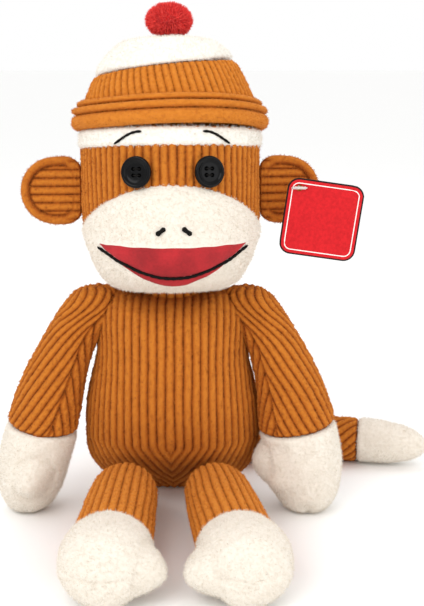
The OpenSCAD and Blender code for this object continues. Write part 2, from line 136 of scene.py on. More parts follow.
def brushed_rib_knit(name, groove_shade, side, crest):
    """Brushed acrylic rib knit: fuzzy rounded ribs with painted shade in the grooves and seams, mottled where
    the nap lies both ways.
    """
    made, tree, shader = finish_of(
        name, 0.95, Sheen_Weight=0.15, Sheen_Roughness=0.55, Specular_IOR_Level=0.1)
    shader.inputs["Sheen Tint"].default_value = srgb("F0B070")
    place = add(tree, "ShaderNodeTexCoord").outputs["Object"]
    rib = add(tree, "ShaderNodeAttribute", attribute_name="rib")
    # Tufts of nap are about 1 mm across, and the cloth's mottling about 8 mm.
    tuft = add(tree, "ShaderNodeTexNoise",
               {"Vector": place, "Scale": 900.0, "Detail": 3.0, "Roughness": 0.65})
    mottle = add(tree, "ShaderNodeTexNoise", {"Vector": place, "Scale": 120.0, "Detail": 2.0})
    mixed = add(tree, "ShaderNodeMath", {0: tuft.outputs["Fac"], 1: 0.34}, operation="MULTIPLY_ADD")
    tree.links.new(rib.outputs["Fac"], mixed.inputs[2])
    shifted = add(tree, "ShaderNodeMath", {0: mottle.outputs["Fac"], 1: 0.3, 2: -0.32},
                  operation="MULTIPLY_ADD")
    level = add(tree, "ShaderNodeMath", {0: mixed.outputs[0], 1: shifted.outputs[0]}, operation="ADD")
    # Painted shade: the ramp runs from the dark groove colour in the grooves and seams to the crest colour on
    # the ribs.
    colour = ramp(tree, level.outputs[0], [(0.0, groove_shade), (0.45, side), (1.0, crest)])
    tree.links.new(colour, shader.inputs["Base Color"])
    bump = add(tree, "ShaderNodeBump",
               {"Height": tuft.outputs["Fac"], "Strength": 0.5, "Distance": 0.9 * MM})
    tree.links.new(bump.outputs["Normal"], shader.inputs["Normal"])
    return made


def short_plush(name, low, high):
    """Short-pile polyester plush: soft, in tufts of about 2 mm, creamier between them."""
    made, tree, shader = finish_of(name, 0.95, Sheen_Weight=0.3, Sheen_Roughness=0.5, Specular_IOR_Level=0.1)
    place = add(tree, "ShaderNodeTexCoord").outputs["Object"]
    tuft = add(tree, "ShaderNodeTexNoise",
               {"Vector": place, "Scale": 520.0, "Detail": 3.0, "Roughness": 0.6})
    colour = ramp(tree, tuft.outputs["Fac"], [(0.25, low), (0.6, high)])
    tree.links.new(colour, shader.inputs["Base Color"])
    bump = add(tree, "ShaderNodeBump", {"Height": tuft.outputs["Fac"], "Strength": 0.6, "Distance": 0.8 * MM})
    tree.links.new(bump.outputs["Normal"], shader.inputs["Normal"])
    return made


def pile_shades(name, codes):
    """Cut polyester fibres in a few close shades, one plain material for each share of the fibres."""
    shades = []
    for index, code in enumerate(codes):
        made, _, shader = finish_of(f"{name}_{index}", 0.9, Sheen_Weight=0.1, Specular_IOR_Level=0.1)
        shader.inputs["Base Color"].default_value = srgb(code)
        shades.append(made)
    return shades


def red_fleece():
    """Smooth red fleece of the mouth: a short matt nap with a faint cloudiness."""
    made, tree, shader = finish_of("red_fleece", 0.85, Sheen_Weight=0.1, Sheen_Roughness=0.4)
    place = add(tree, "ShaderNodeTexCoord").outputs["Object"]
    nap = add(tree, "ShaderNodeTexNoise", {"Vector": place, "Scale": 800.0, "Detail": 3.0})
    cloud = add(tree, "ShaderNodeTexNoise", {"Vector": place, "Scale": 90.0, "Detail": 1.0})
    level = add(tree, "ShaderNodeMath", {0: nap.outputs["Fac"], 1: 0.5, 2: 0.0}, operation="MULTIPLY_ADD")
    tree.links.new(cloud.outputs["Fac"], level.inputs[2])
    colour = ramp(tree, level.outputs[0], [(0.45, "8C0D15"), (0.95, "AE1820")])
    tree.links.new(colour, shader.inputs["Base Color"])
    bump = add(tree, "ShaderNodeBump", {"Height": nap.outputs["Fac"], "Strength": 0.35, "Distance": 0.3 * MM})
    tree.links.new(bump.outputs["Normal"], shader.inputs["Normal"])
    return made


def cotton_thread(name, code, light):
    """Twisted embroidery thread: matt, with fine slanting plies."""
    made, tree, shader = finish_of(name, 0.8, Specular_IOR_Level=0.1)
    place = add(tree, "ShaderNodeTexCoord").outputs["Object"]
    ply = add(tree, "ShaderNodeTexWave", {"Vector": place, "Scale": 500.0, "Distortion": 1.0},
              bands_direction="DIAGONAL")
    colour = ramp(tree, ply.outputs["Fac"], [(0.2, code), (0.9, light)])
    tree.links.new(colour, shader.inputs["Base Color"])
    bump = add(tree, "ShaderNodeBump", {"Height": ply.outputs["Fac"], "Strength": 0.3, "Distance": 0.2 * MM})
    tree.links.new(bump.outputs["Normal"], shader.inputs["Normal"])
    return made


def polyester_button():
    """Black polyester button: turned and tumble-polished, glossy with very faint tumbling marks."""
    made, tree, shader = finish_of("black_polyester_button", 0.22, Specular_IOR_Level=0.14)
    place = add(tree, "ShaderNodeTexCoord").outputs["Object"]
    mark = add(tree, "ShaderNodeTexNoise", {"Vector": place, "Scale": 260.0, "Detail": 2.0})
    colour = ramp(tree, mark.outputs["Fac"], [(0.3, "030304"), (0.8, "070708")])
    tree.links.new(colour, shader.inputs["Base Color"])
    rough = add(tree, "ShaderNodeMapRange", {"Value": mark.outputs["Fac"], "To Min": 0.12, "To Max": 0.26})
    tree.links.new(rough.outputs[0], shader.inputs["Roughness"])
    return made


def printed_card(name, code, dark):
    """Film-laminated card: even ink under a clear satin film, with a slight paper grain."""
    made, tree, shader = finish_of(name, 0.5, Specular_IOR_Level=0.15)
    place = add(tree, "ShaderNodeTexCoord").outputs["Object"]
    grain = add(tree, "ShaderNodeTexNoise", {"Vector": place, "Scale": 700.0, "Detail": 2.0})
    colour = ramp(tree, grain.outputs["Fac"], [(0.3, dark), (0.7, code)])
    tree.links.new(colour, shader.inputs["Base Color"])
    bump = add(tree, "ShaderNodeBump",
               {"Height": grain.outputs["Fac"], "Strength": 0.08, "Distance": 0.1 * MM})
    tree.links.new(bump.outputs["Normal"], shader.inputs["Normal"])
    return made


def clear_nylon():
    """Clear drawn nylon of the tag's fastener, slightly milky."""
    made, tree, shader = finish_of("clear_nylon", 0.25, IOR=1.53, Transmission_Weight=0.5)
    place = add(tree, "ShaderNodeTexCoord").outputs["Object"]
    cloud = add(tree, "ShaderNodeTexNoise", {"Vector": place, "Scale": 400.0})
    colour = ramp(tree, cloud.outputs["Fac"], [(0.3, "E6E6E0"), (0.7, "F4F4F0")])
    tree.links.new(colour, shader.inputs["Base Color"])
    return made


# The first colour of each knit is painted shade, laid in the grooves and seams through the rib attribute.
RUST = brushed_rib_knit("rust_rib_knit", "5C2B0A", "A3561B", "BF7228")
PALE_RUST = brushed_rib_knit("pale_rust_rib_knit", "74400F", "B96A22", "CC7E30")
BAND_RUST = brushed_rib_knit("hat_rust_rib_knit", "74400F", "B86A20", "C97A2C")
CREAM = short_plush("cream_plush", "D9D0C2", "E4DCD0")
WHITE = short_plush("white_plush", "DCD7CC", "EDEAE2")
RED = red_fleece()
THREAD = cotton_thread("black_cotton_thread", "080707", "1B1816")
BUTTON = polyester_button()
CARD = printed_card("red_laminated_card", "CC1B22", "B8151C")
CARD_EDGE = printed_card("black_card_edge", "1B1414", "120D0D")
CARD_LINE = printed_card("pale_card_line", "F3EEEA", "E9E2DC")
NYLON = clear_nylon()
CREAM_PILE = pile_shades("cream_pile", ["E6DFD4", "E3DBCF", "DFD6C8"])
WHITE_PILE = pile_shades("white_pile", ["F1EEE7", "EBE7DE", "E4DFD5"])
RUST_PILE = pile_shades("rust_pile", ["BC7029", "AB5F1E", "964E16"])
PALE_PILE = pile_shades("pale_rust_pile", ["CE8030", "C07325", "AD641C"])
YARN = pile_shades("red_yarn", ["F0524A", "E4423E", "D23434"])


# ---------------------------------------------------------------- grids of points
def refine(grid, times, axis, closed):
    """Cubic B-spline subdivision of a grid of points along one axis; open ends stay where they are."""
    grid = np.moveaxis(np.asarray(grid, float), axis, 0)
    for _ in range(times):
        if closed:
            back, ahead = np.roll(grid, 1, 0), np.roll(grid, -1, 0)
            even, odd = (back + 6 * grid + ahead) / 8, (grid + ahead) / 2
            grid = np.stack([even, odd], 1).reshape(-1, *grid.shape[1:])
        else:
            even = grid.copy()
            even[1:-1] = (grid[:-2] + 6 * grid[1:-1] + grid[2:]) / 8
            odd = (grid[:-1] + grid[1:]) / 2
            joined = np.empty((len(grid) * 2 - 1, *grid.shape[1:]))
            joined[0::2], joined[1::2] = even, odd
            grid = joined
    return np.moveaxis(grid, 0, axis)


def tree_of(*nodes):
    """The surface of these CAD nodes, for casting."""
    shape = bmesh.new()
    for name in nodes:
        shape.from_mesh(frame["nodes"][name].data)
    found = BVHTree.FromBMesh(shape)
    shape.free()
    return found


def reach(tree, centre, direction):
    """The outermost point of a surface from a centre; more rays are tried where one slips through a seam."""
    far = 0.4
    aside = direction.orthogonal().normalized() * 0.8 * MM
    other = direction.cross(aside)
    for i, j in ((0, 0), (1, 1), (-1, -1), (1, -1), (-1, 1)):
        hit = tree.ray_cast(centre + aside * i + other * j + direction * far, -direction)[0]
        if hit is not None and (hit - centre).dot(direction) > 0.2 * MM:
            return centre + direction * (hit - centre).dot(direction)
    return centre


def section(tree, centre, first, second, angles):
    """A closed outline round a centre; angle 0 looks along first and 90 degrees along second."""
    return [reach(tree, centre, first * math.cos(a) + second * math.sin(a)) for a in angles]


def middle(tree, point, across, deep):
    """The middle of a limb near a point, across it both ways."""
    for way in (across, deep, across):
        low, high = reach(tree, point, -way), reach(tree, point, way)
        point = (low + high) / 2
    return point


def spread(low, high, count):
    """Positions from low to high, closer together towards both ends."""
    turn = np.linspace(0, math.pi, count)
    return low + (high - low) * (1 - np.cos(turn)) / 2


def loft(tree, centres, first, second, columns):
    """Outlines round a run of centres, as rows of points."""
    angles = np.linspace(0, 2 * math.pi, columns, endpoint=False)
    return np.array([[tuple(p) for p in section(tree, c, first, second, angles)] for c in centres])


def normals(grid, closed=True):
    """Unit normals of a grid, pointing away from its middle."""
    along = np.gradient(grid, axis=0)
    round_ = (np.roll(grid, -1, 1) - np.roll(grid, 1, 1)) if closed else np.gradient(grid, axis=1)
    made = np.cross(round_, along)
    made /= np.maximum(np.linalg.norm(made, axis=2, keepdims=True), 1e-12)
    return made


def outward(grid, directions):
    """Turns a grid's normals to the side that faces away from the rows' centres."""
    away = grid - grid.mean(axis=1, keepdims=True)
    return directions * np.sign((away * directions).sum(2).mean() or 1.0)


def girth(grid, start, closed=True):
    """Distance round each row from the column at start, and half the row's length, in metres."""
    step = np.linalg.norm(np.roll(grid, -1, 1) - grid, axis=2)
    if not closed:
        step[:, -1] = 0
    total = step.sum(1, keepdims=True)
    place = np.concatenate([np.zeros((len(grid), 1)), np.cumsum(step, 1)[:, :-1]], 1)
    place = place - place[:, start:start + 1]
    if closed:
        place = (place + total / 2) % total - total / 2
    return place, total / 2


def length_along(grid):
    """Distance along each column from the first row."""
    step = np.linalg.norm(np.diff(grid, axis=0), axis=2)
    return np.concatenate([np.zeros((1, grid.shape[1])), np.cumsum(step, 0)], 0)


def to_last_row(grid):
    """Distance along each column to the last row, where the cover meets the next one."""
    return length_along(grid[::-1])[::-1]


def ribs(place, pitch):
    """Rounded ribs, 0 in a groove and 1 on a crest."""
    share = place / pitch + 0.5
    share = share - np.floor(share)
    return 1 - np.abs(2 * share - 1) ** 2.4


def dip(distance, width):
    """A smooth groove, 1 at its middle."""
    return np.exp(-(distance / width) ** 2)


def smooth_step(value, low, high):
    """Rises smoothly from 0 at low to 1 at high."""
    share = np.clip((value - low) / (high - low), 0, 1)
    return share * share * (3 - 2 * share)


def lumps(grid, scale, seed):
    """Soft noise at each point, about -1 to 1, with lumps of the given size in metres."""
    shift = Vector((seed * 3.7, seed * 1.3, seed * 5.1))
    flat = grid.reshape(-1, 3) / scale
    return np.array([noise.noise(Vector(p) + shift) for p in flat]).reshape(grid.shape[:2])


def knit(grid, place, pitch, seams, seed, height=RIB_HEIGHT):
    """Presses ribs and seams into a grid; gives the new grid, and the ribs for the colour, which paints shade
    in the grooves and seams.
    """
    out = outward(grid, normals(grid))
    nap = lumps(grid, NAP_LUMP, seed)
    soft = lumps(grid, SLACK_LUMP, seed + 50)
    # The rib value drops to 0 in grooves and seams, where the knit colour paints shade.
    rib = ribs(place + 0.5 * MM * soft, pitch) * (1 - seams)
    lift = (rib * (1 + 0.5 * nap) - 0.55) * height - SEAM_DEPTH * seams + 0.5 * MM * soft
    return grid + out * lift[..., None], np.clip(rib + 0.2 * nap, 0, 1)


# ---------------------------------------------------------------- grids to meshes
def capped(grid):
    """Closes both ends of a tube of rows with rows that shrink to a point."""
    def cap(ring):
        centre = ring.mean(0)
        return [centre + (ring - centre) * k for k in (0.8, 0.55, 0.3, 0.1, 0.0)]

    return np.concatenate([np.array(cap(grid[0])[::-1]), grid, np.array(cap(grid[-1]))], 0)


def show(name, mesh_source, material):
    """Turns a bmesh into an object in the scene, shaded smooth."""
    bmesh.ops.recalc_face_normals(mesh_source, faces=mesh_source.faces)
    mesh = bpy.data.meshes.new(name)
    mesh_source.to_mesh(mesh)
    mesh_source.free()
    mesh.materials.append(material)
    mesh.shade_smooth()
    made = bpy.data.objects.new(name, mesh)
    bpy.context.scene.collection.objects.link(made)
    return made


def skin(name, grid, material, rib=None, closed=True, caps=True, wall=0.0):
    """A piece from a grid of points: a tube with closed ends, or an open sheet given a wall."""
    if caps:
        extra = capped(grid)
        if rib is not None:
            pad = (len(extra) - len(grid)) // 2
            rib = np.concatenate([np.repeat(rib[:1], pad, 0), rib, np.repeat(rib[-1:], pad, 0)], 0)
        grid = extra
    if closed:
        grid = np.concatenate([grid, grid[:, :1]], 1)
        rib = None if rib is None else np.concatenate([rib, rib[:, :1]], 1)
    rows, columns = grid.shape[:2]
    sheet = bmesh.new()
    bmesh.ops.create_grid(sheet, x_segments=columns - 1, y_segments=rows - 1, size=1)
    sheet.verts.ensure_lookup_table()
    mesh = bpy.data.meshes.new("draft")
    sheet.to_mesh(mesh)
    sheet.free()
    mesh.vertices.foreach_set("co", np.ascontiguousarray(grid.reshape(-1, 3), np.float32).ravel())
    if rib is not None:
        layer = mesh.attributes.new("rib", "FLOAT", "POINT")
        layer.data.foreach_set("value", np.ascontiguousarray(rib.reshape(-1), np.float32))
    shape = bmesh.new()
    shape.from_mesh(mesh)
    bpy.data.meshes.remove(mesh)
    if wall:
        bmesh.ops.recalc_face_normals(shape, faces=shape.faces)
        bmesh.ops.solidify(shape, geom=shape.faces[:], thickness=wall)
    bmesh.ops.remove_doubles(shape, verts=shape.verts, dist=1e-6)
    return show(name, shape, material)


def pile(name, source, count, length, width, shades, seed, lean=(0, 0, 0), jitter=0.5, keep=None):
    """Fibres standing on a piece's surface: slim closed spikes, each in one of a few shades."""
    mesh = source.data
    mesh.calc_loop_triangles()
    points = np.empty(len(mesh.vertices) * 3, np.float32)
    mesh.vertices.foreach_get("co", points)
    points = points.reshape(-1, 3).astype(float)
    corners = np.empty(len(mesh.loop_triangles) * 3, np.int32)
    mesh.loop_triangles.foreach_get("vertices", corners)
    a, b, c = (points[corners.reshape(-1, 3)[:, k]] for k in range(3))
    face = np.cross(b - a, c - a)
    size = np.linalg.norm(face, axis=1)
    unit = face / np.maximum(size, 1e-15)[:, None]
    weight = size if keep is None else size * keep((a + b + c) / 3, unit)
    random = np.random.default_rng(SEED + seed)
    picked = random.choice(len(weight), count, p=weight / weight.sum())
    u, v = random.random((2, count, 1))
    swap = u + v > 1
    u, v = np.where(swap, 1 - u, u), np.where(swap, 1 - v, v)
    foot = a[picked] + u * (b - a)[picked] + v * (c - a)[picked]
    normal = unit[picked]
    way = normal + np.array(lean) + jitter * random.normal(size=(count, 3))
    way /= np.linalg.norm(way, axis=1, keepdims=True)
    side = np.cross(way, random.normal(size=(count, 3)))
    side /= np.linalg.norm(side, axis=1, keepdims=True)
    other = np.cross(way, side)
    tall = length * random.uniform(0.6, 1.15, (count, 1))
    foot = foot - 0.3 * length * normal
    ring = [foot + width / 2 * (math.cos(t) * side + math.sin(t) * other) for t in (0, 2.094, 4.189)]
    tip = foot + (tall + 0.3 * length) * way
    verts = np.stack([*ring, tip], 1).reshape(-1, 3)
    base = np.arange(count)[:, None] * 4
    faces = np.concatenate([base + np.array(f) for f in ((0, 2, 1), (0, 1, 3), (1, 2, 3), (2, 0, 3))], 1)
    made_mesh = bpy.data.meshes.new(name)
    made_mesh.from_pydata(verts.tolist(), [], faces.reshape(-1, 3).tolist())
    for shade in shades:
        made_mesh.materials.append(shade)
    shade_of = random.integers(0, len(shades), count)
    made_mesh.polygons.foreach_set("material_index", np.repeat(shade_of, 4).astype(np.int32))
    made = bpy.data.objects.new(name, made_mesh)
    bpy.context.scene.collection.objects.link(made)
    return made


def sweep(name, path, radius, material, sides=10, twist=0.0):
    """A round thread along a run of points, with rounded ends and, if asked, the bumps of a twisted ply."""
    path = refine(np.array(path, float), 2, 0, False)
    ahead = np.gradient(path, axis=0)
    ahead /= np.linalg.norm(ahead, axis=1, keepdims=True)
    level = abs(ahead.mean(0)[1]) < 0.7
    side = np.cross(ahead, np.array([0.0, 1.0, 0.0] if level else [0.0, 0.0, 1.0]))
    side /= np.linalg.norm(side, axis=1, keepdims=True)
    other = np.cross(side, ahead)
    angles = np.linspace(0, 2 * math.pi, sides, endpoint=False)
    run = np.concatenate([[0], np.cumsum(np.linalg.norm(np.diff(path, axis=0), axis=1))])
    ends = np.minimum(run, run[-1] - run)
    size = radius * np.sqrt(np.clip(1 - (1 - np.minimum(ends / radius, 1)) ** 2, 0.04, 1))
    bumps = 1 + twist * np.cos(2 * (angles[None] - run[:, None] / (1.5 * radius)))
    grid = path[:, None] + (size[:, None] * bumps)[..., None] * (
        np.cos(angles)[None, :, None] * side[:, None] + np.sin(angles)[None, :, None] * other[:, None])
    return skin(name, grid, material)


DOWN, UP = Vector((0, 0, -1)), Vector((0, 0, 1))
FRONT, LEFT = Vector((0, -1, 0)), Vector((1, 0, 0))


def box_of(*nodes):
    """The lowest and highest corners of several CAD nodes together."""
    corners = [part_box(name) for name in nodes]
    return (Vector([min(c[0][i] for c in corners) for i in range(3)]),
            Vector([max(c[1][i] for c in corners) for i in range(3)]))


# ---------------------------------------------------------------- camera, light and floor
def studio():
    """The camera, three soft lamps, a white surrounding and the paper floor."""
    scene = bpy.context.scene
    scene.view_settings.view_transform = "Standard"
    camera = bpy.data.cameras.new("camera")
    camera.sensor_fit = "VERTICAL"
    camera.sensor_height = 36.0
    camera.lens = CAMERA_LENS
    camera.clip_start = 0.01
    eye = bpy.data.objects.new("camera", camera)
    eye.location = CAMERA_AT
    eye.rotation_euler = (math.radians(90 - CAMERA_DOWN), 0, 0)
    scene.collection.objects.link(eye)
    scene.camera = eye
    for name, place, size, power in LAMPS:
        lamp = bpy.data.lights.new(name, "AREA")
        lamp.shape = "SQUARE"
        lamp.size = size
        lamp.energy = power
        holder = bpy.data.objects.new(name, lamp)
        holder.location = place
        holder.rotation_euler = (LIT_POINT - Vector(place)).to_track_quat("-Z", "Y").to_euler()
        scene.collection.objects.link(holder)
    world = bpy.data.worlds.new("studio")
    world.use_nodes = True
    world.node_tree.nodes["Background"].inputs["Color"].default_value = (1, 1, 1, 1)
    world.node_tree.nodes["Background"].inputs["Strength"].default_value = 1.0
    scene.world = world
    plane = bmesh.new()
    bmesh.ops.create_grid(plane, x_segments=1, y_segments=1, size=FLOOR_SIZE)
    paper, _, shader = finish_of("white_paper_floor", 0.9)
    shader.inputs["Base Color"].default_value = srgb("FCFCFB")
    floor = show("floor", plane, paper)
    floor.location.z = -FLOOR_DROP


# ---------------------------------------------------------------- torso
def torso():
    """Front and back panel, sewn down the sides: straight ribs that close to a chevron above the legs."""
    nodes = ["torso_front", "torso_back"]
    tree = tree_of(*nodes)
    low, high = box_of(*nodes)
    heights = spread(low.z + 0.4 * MM, high.z - 0.4 * MM, 23)
    centres = [middle(tree, Vector((0, 0.0 if z < 5 * MM else -10 * MM, z)), LEFT, FRONT) for z in heights]
    grid = loft(tree, centres, FRONT, LEFT, 32)
    grid = refine(refine(grid, 4, 1, True), 2, 0, False)
    columns = grid.shape[1]
    # The filling pushes the sides out at the belly, and lifts the shoulders beside the neck.
    belly = smooth_step(-np.abs(grid[..., 2] - 0.042), -0.045, -0.010)
    swell = 0.06 * belly + 0.09 * smooth_step(grid[..., 2], 0.085, 0.112)
    shoulder = smooth_step(np.abs(grid[..., 0]), 0.012, 0.026) * smooth_step(grid[..., 2], 0.098, 0.116)
    grid[..., 0] *= 1 + swell
    grid[..., 2] += 3.0 * MM * shoulder
    front, _ = girth(grid, 0)
    back, _ = girth(grid, columns // 2)
    turn = np.arange(columns) / columns
    ahead = (turn < 0.25) | (turn > 0.75)
    seam_at = np.abs(front[:, columns // 4])[:, None]
    place = np.where(ahead[None], np.abs(front), np.abs(back))
    height = grid[..., 2]
    # The ribs lean in towards the middle below the belly.
    place = place + np.where(ahead[None], 0.6 * np.maximum(0.040 - height, 0), 0)
    to_seam = np.abs(np.abs(front) - seam_at)
    grid, rib = knit(grid, place, RIB_PITCH, dip(to_seam, SEAM_WIDTH), 1)
    grid[..., 2] = np.maximum(grid[..., 2], GROUND)
    piece = skin("torso_cover", grid, RUST, rib)
    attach(piece, "torso")
    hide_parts("torso_front", "torso_back", "torso_stuffing")
    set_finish(piece, "rust_knit")
    return piece


def neck():
    """The gathered neck between head and shoulders, mostly hidden under the chin."""
    joint = Vector(JOINTS["neck_turn"]["pos_m"])
    radius = 17 * MM
    heights = [-7, -4, 0, 4, 7]
    grid = np.array([[(radius * math.sin(a), joint.y - radius * math.cos(a), joint.z + h * MM)
                      for a in np.linspace(0, 2 * math.pi, 24, endpoint=False)] for h in heights])
    grid = refine(refine(grid, 4, 1, True), 2, 0, False)
    place, _ = girth(grid, 0)
    rib = ribs(np.abs(place), RIB_PITCH)
    grid = grid + outward(grid, normals(grid)) * ((rib - 0.5) * RIB_HEIGHT)[..., None]
    piece = skin("neck_cover", grid, RUST, rib)
    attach(piece, "neck")
    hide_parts("neck_ring")
    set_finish(piece, "rust_knit")


# ---------------------------------------------------------------- head frame
EAR_LINE = Vector(JOINTS["ear_left_fold"]["axis"])
SIDE_LINE = Vector(JOINTS["pompom_sway"]["axis"])
BACK_LINE = EAR_LINE.cross(SIDE_LINE)
EARS_MIDDLE = (Vector(JOINTS["ear_left_fold"]["pos_m"]) + Vector(JOINTS["ear_right_fold"]["pos_m"])) / 2
HEAD_AXIS = EARS_MIDDLE + BACK_LINE * 4 * MM        # the ears sit a little before the head's own axis


def on_axis(up):
    """A point of the head's axis, up from the middle of the ears, in metres."""
    return HEAD_AXIS + EAR_LINE * up


def facing(angle):
    """A direction level with the head; 0 is the face and 90 degrees its left ear."""
    return -BACK_LINE * math.cos(angle) + SIDE_LINE * math.sin(angle)


def head_height(grid):
    """Height of points above the middle of the ears, along the head's axis."""
    return (grid - np.array(HEAD_AXIS)) @ np.array(EAR_LINE)


HEAD_TREE = tree_of("head_back", "head_face_band", "head_forehead", "muzzle")
HEAD_LOW, HEAD_HIGH = -51.4 * MM, 31.0 * MM         # the chin's underside and the hat's edge
FOREHEAD_LOW = 21.3 * MM                            # seam between face band and forehead


def head_cover():
    """The rust head under its patches: ribs down the face and the back, sewn at the ears."""
    heights = spread(HEAD_LOW, HEAD_HIGH, 22)
    grid = loft(HEAD_TREE, [on_axis(h) for h in heights], facing(0), facing(math.pi / 2), 32)
    grid = refine(refine(grid, 4, 1, True), 2, 0, False)
    columns = grid.shape[1]
    front, _ = girth(grid, 0)
    back, _ = girth(grid, columns // 2)
    turn = np.arange(columns) / columns
    ahead = (turn < 0.24) | (turn > 0.76)
    place = np.where(ahead[None], np.abs(front), np.abs(back))
    seam_at = np.abs(front[:, int(columns * 0.24)])[:, None]
    to_seam = np.abs(np.abs(front) - seam_at)
    grid, rib = knit(grid, place, FACE_PITCH, dip(to_seam, SEAM_WIDTH), 2)
    piece = skin("head_cover", grid, RUST, rib)
    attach(piece, "head")
    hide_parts("head_back", "head_face_band", "head_stuffing")
    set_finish(piece, "rust_knit")
    return piece


def face_patch(angles, low, high, rows, raise_by, steps):
    """Points over a patch of the head between two heights that may change with the angle."""
    grid = []
    for share in np.linspace(0, 1, rows):
        row = []
        for a in angles:
            h = low(a) + (high(a) - low(a)) * share
            row.append(tuple(reach(HEAD_TREE, on_axis(h), facing(a))))
        grid.append(row)
    grid = refine(refine(np.array(grid), steps[0], 1, False), steps[1], 0, False)
    out = normals(grid, closed=False)
    away = grid - np.array(HEAD_AXIS)
    out *= np.sign((away * out).sum(2).mean())
    rows, columns = grid.shape[:2]
    share_up = np.linspace(0, 1, rows)[:, None] * np.ones((1, columns))
    share_round = np.ones((rows, 1)) * np.linspace(0, 1, columns)[None]
    edge = np.minimum.reduce([
        length_along(grid), to_last_row(grid),
        girth(grid, 0, False)[0], girth(grid[:, ::-1], 0, False)[0][:, ::-1]])
    lift = raise_by(edge, share_up, share_round)
    return grid + out * (lift + 0.35 * MM * lumps(grid, 5 * MM, 5))[..., None]


def tucked(height, width, tuck):
    """A patch that stands proud and rolls under at its edge, for face_patch."""
    def raised(edge, up, round_):
        share = np.clip(edge / width, 0, 1)
        return -tuck + (height + tuck) * np.sqrt(np.clip(1 - (1 - share) ** 2, 0, 1))

    return raised


MUZZLE_HALF = math.radians(75)


def muzzle_top(a):
    """The muzzle's arched upper edge, highest between the eyes."""
    return (-20.5 + 23.5 * max(math.cos(a), 0) ** 1.4) * MM


def muzzle():
    """The big stuffed plush muzzle, arched up between the eyes and rolled under at its seam."""
    angles = np.linspace(-MUZZLE_HALF, MUZZLE_HALF, 25)
    grid = face_patch(angles, lambda a: HEAD_LOW + 0.6 * MM, muzzle_top, 16,
                      tucked(3.2 * MM, width=9 * MM, tuck=2.4 * MM), steps=(3, 2))
    piece = skin("muzzle_cover", grid, CREAM, closed=False, caps=False, wall=COVER)
    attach(piece, "head")
    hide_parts("muzzle")
    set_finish(piece, "cream_plush")
    return piece


def forehead():
    """The strip of plush between the face band and the hat."""
    angles = np.linspace(-math.radians(88), math.radians(88), 25)
    grid = face_patch(angles, lambda a: FOREHEAD_LOW, lambda a: HEAD_HIGH + 0.5 * MM, 4,
                      tucked(1.6 * MM, width=3 * MM, tuck=2.2 * MM), steps=(3, 3))
    piece = skin("forehead_cover", grid, WHITE, closed=False, caps=False, wall=COVER)
    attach(piece, "head")
    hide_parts("head_forehead")
    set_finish(piece, "cream_plush")
    return piece


def face_point(angle, up, lift=0.0):
    """A point standing off the head's surface."""
    way = facing(angle)
    centre = on_axis(up)
    hit, normal, _, _ = HEAD_TREE.ray_cast(centre + way * 0.4, -way)
    return hit + normal * lift


# ---------------------------------------------------------------- mouth and stitching
MOUTH_HALF = math.radians(50)
MOUTH_LIFT = 3.0 * MM       # the muzzle's own padding under the mouth


def mouth_rise(a):
    """How far the lips curve up towards the corners, 0 in the middle and 1 at the corners."""
    return (math.sin(a) / math.sin(MOUTH_HALF)) ** 2


def smile_height(a):
    """Height of the stitched smile above the middle of the ears."""
    return (-41.5 + 15.5 * mouth_rise(a)) * MM


def mouth():
    """Red fleece crescent: a full upper part, the stitched smile, and a narrow lower lip."""
    angles = np.linspace(-MOUTH_HALF, MOUTH_HALF, 21)

    def low(a):
        return (-46.0 + 20.6 * mouth_rise(a)) * MM

    def high(a):
        return (-27.5 + 2.6 * mouth_rise(a)) * MM

    def raised(edge, up, round_):
        share = np.clip(edge / (3.5 * MM), 0, 1)
        roll = np.sqrt(np.clip(1 - (1 - share) ** 2, 0, 1))
        turn = MOUTH_HALF * (2 * round_ - 1)
        rise = (np.sin(turn) / math.sin(MOUTH_HALF)) ** 2
        span = 18.5 - 18.0 * rise
        height = -46.0 + 20.6 * rise + span * up
        smile = dip((height + 41.5 - 15.5 * rise) * MM, 1.1 * MM)
        fold = dip((height + 30.5 - 4.0 * rise) * MM, 0.8 * MM)
        return MOUTH_LIFT - 1.6 * MM + 2.6 * MM * roll - 0.9 * MM * smile - 0.45 * MM * fold

    grid = face_patch(angles, low, high, 12, raised, steps=(3, 2))
    piece = skin("mouth_cover", grid, RED, closed=False, caps=False, wall=1.2 * MM)
    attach(piece, "head")
    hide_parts("mouth")
    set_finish(piece, "red_felt")


def stitched(name, node, path, radius):
    """A line of embroidery thread."""
    piece = sweep(name, [tuple(p) for p in path], radius, THREAD, sides=12, twist=0.18)
    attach(piece, "head")
    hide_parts(node)
    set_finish(piece, "black_thread")


def stitching():
    """The smile, two arched brows and two slanting nostrils."""
    half = math.radians(47)
    smile = [face_point(a, smile_height(a), MOUTH_LIFT + 0.75 * MM) for a in np.linspace(-half, half, 19)]
    stitched("smile_line", "smile_thread", smile, 0.75 * MM)
    for side, name in ((1, "left"), (-1, "right")):
        turns = np.radians(np.linspace(36, 18, 7))
        rises = 22.3 + 6.0 * np.sin(np.linspace(0, math.pi * 0.56, 7))
        brow = [face_point(side * a, h * MM, 2.0 * MM) for a, h in zip(turns, rises)]
        stitched(f"brow_line_{name}", f"brow_{name}", brow, 0.62 * MM)
        ends = [(4.0, -19.2), (6.2, -20.9), (8.9, -22.7)]
        nostril = [face_point(side * math.radians(a), h * MM, 3.6 * MM) for a, h in ends]
        stitched(f"nostril_line_{name}", f"nostril_{name}", nostril, 1.2 * MM)


# ---------------------------------------------------------------- button eyes
HOLE_AT = 1.6 * MM          # of each hole, across and up from the button's middle
# From the middle of the front over the rim to the middle of the back: share of the radius, height in mm.
BUTTON_SECTION = [
    (0, 2.0), (0.1, 2.0), (0.2, 2.0), (0.3, 2.0), (0.4, 2.0), (0.5, 2.05), (0.6, 2.15), (0.68, 2.35),
    (0.75, 2.8), (0.83, 3.2), (0.91, 3.2), (0.97, 2.8), (1.0, 2.1), (0.985, 1.3), (0.93, 0.5), (0.8, 0.1),
    (0.4, 0.0), (0, 0)]


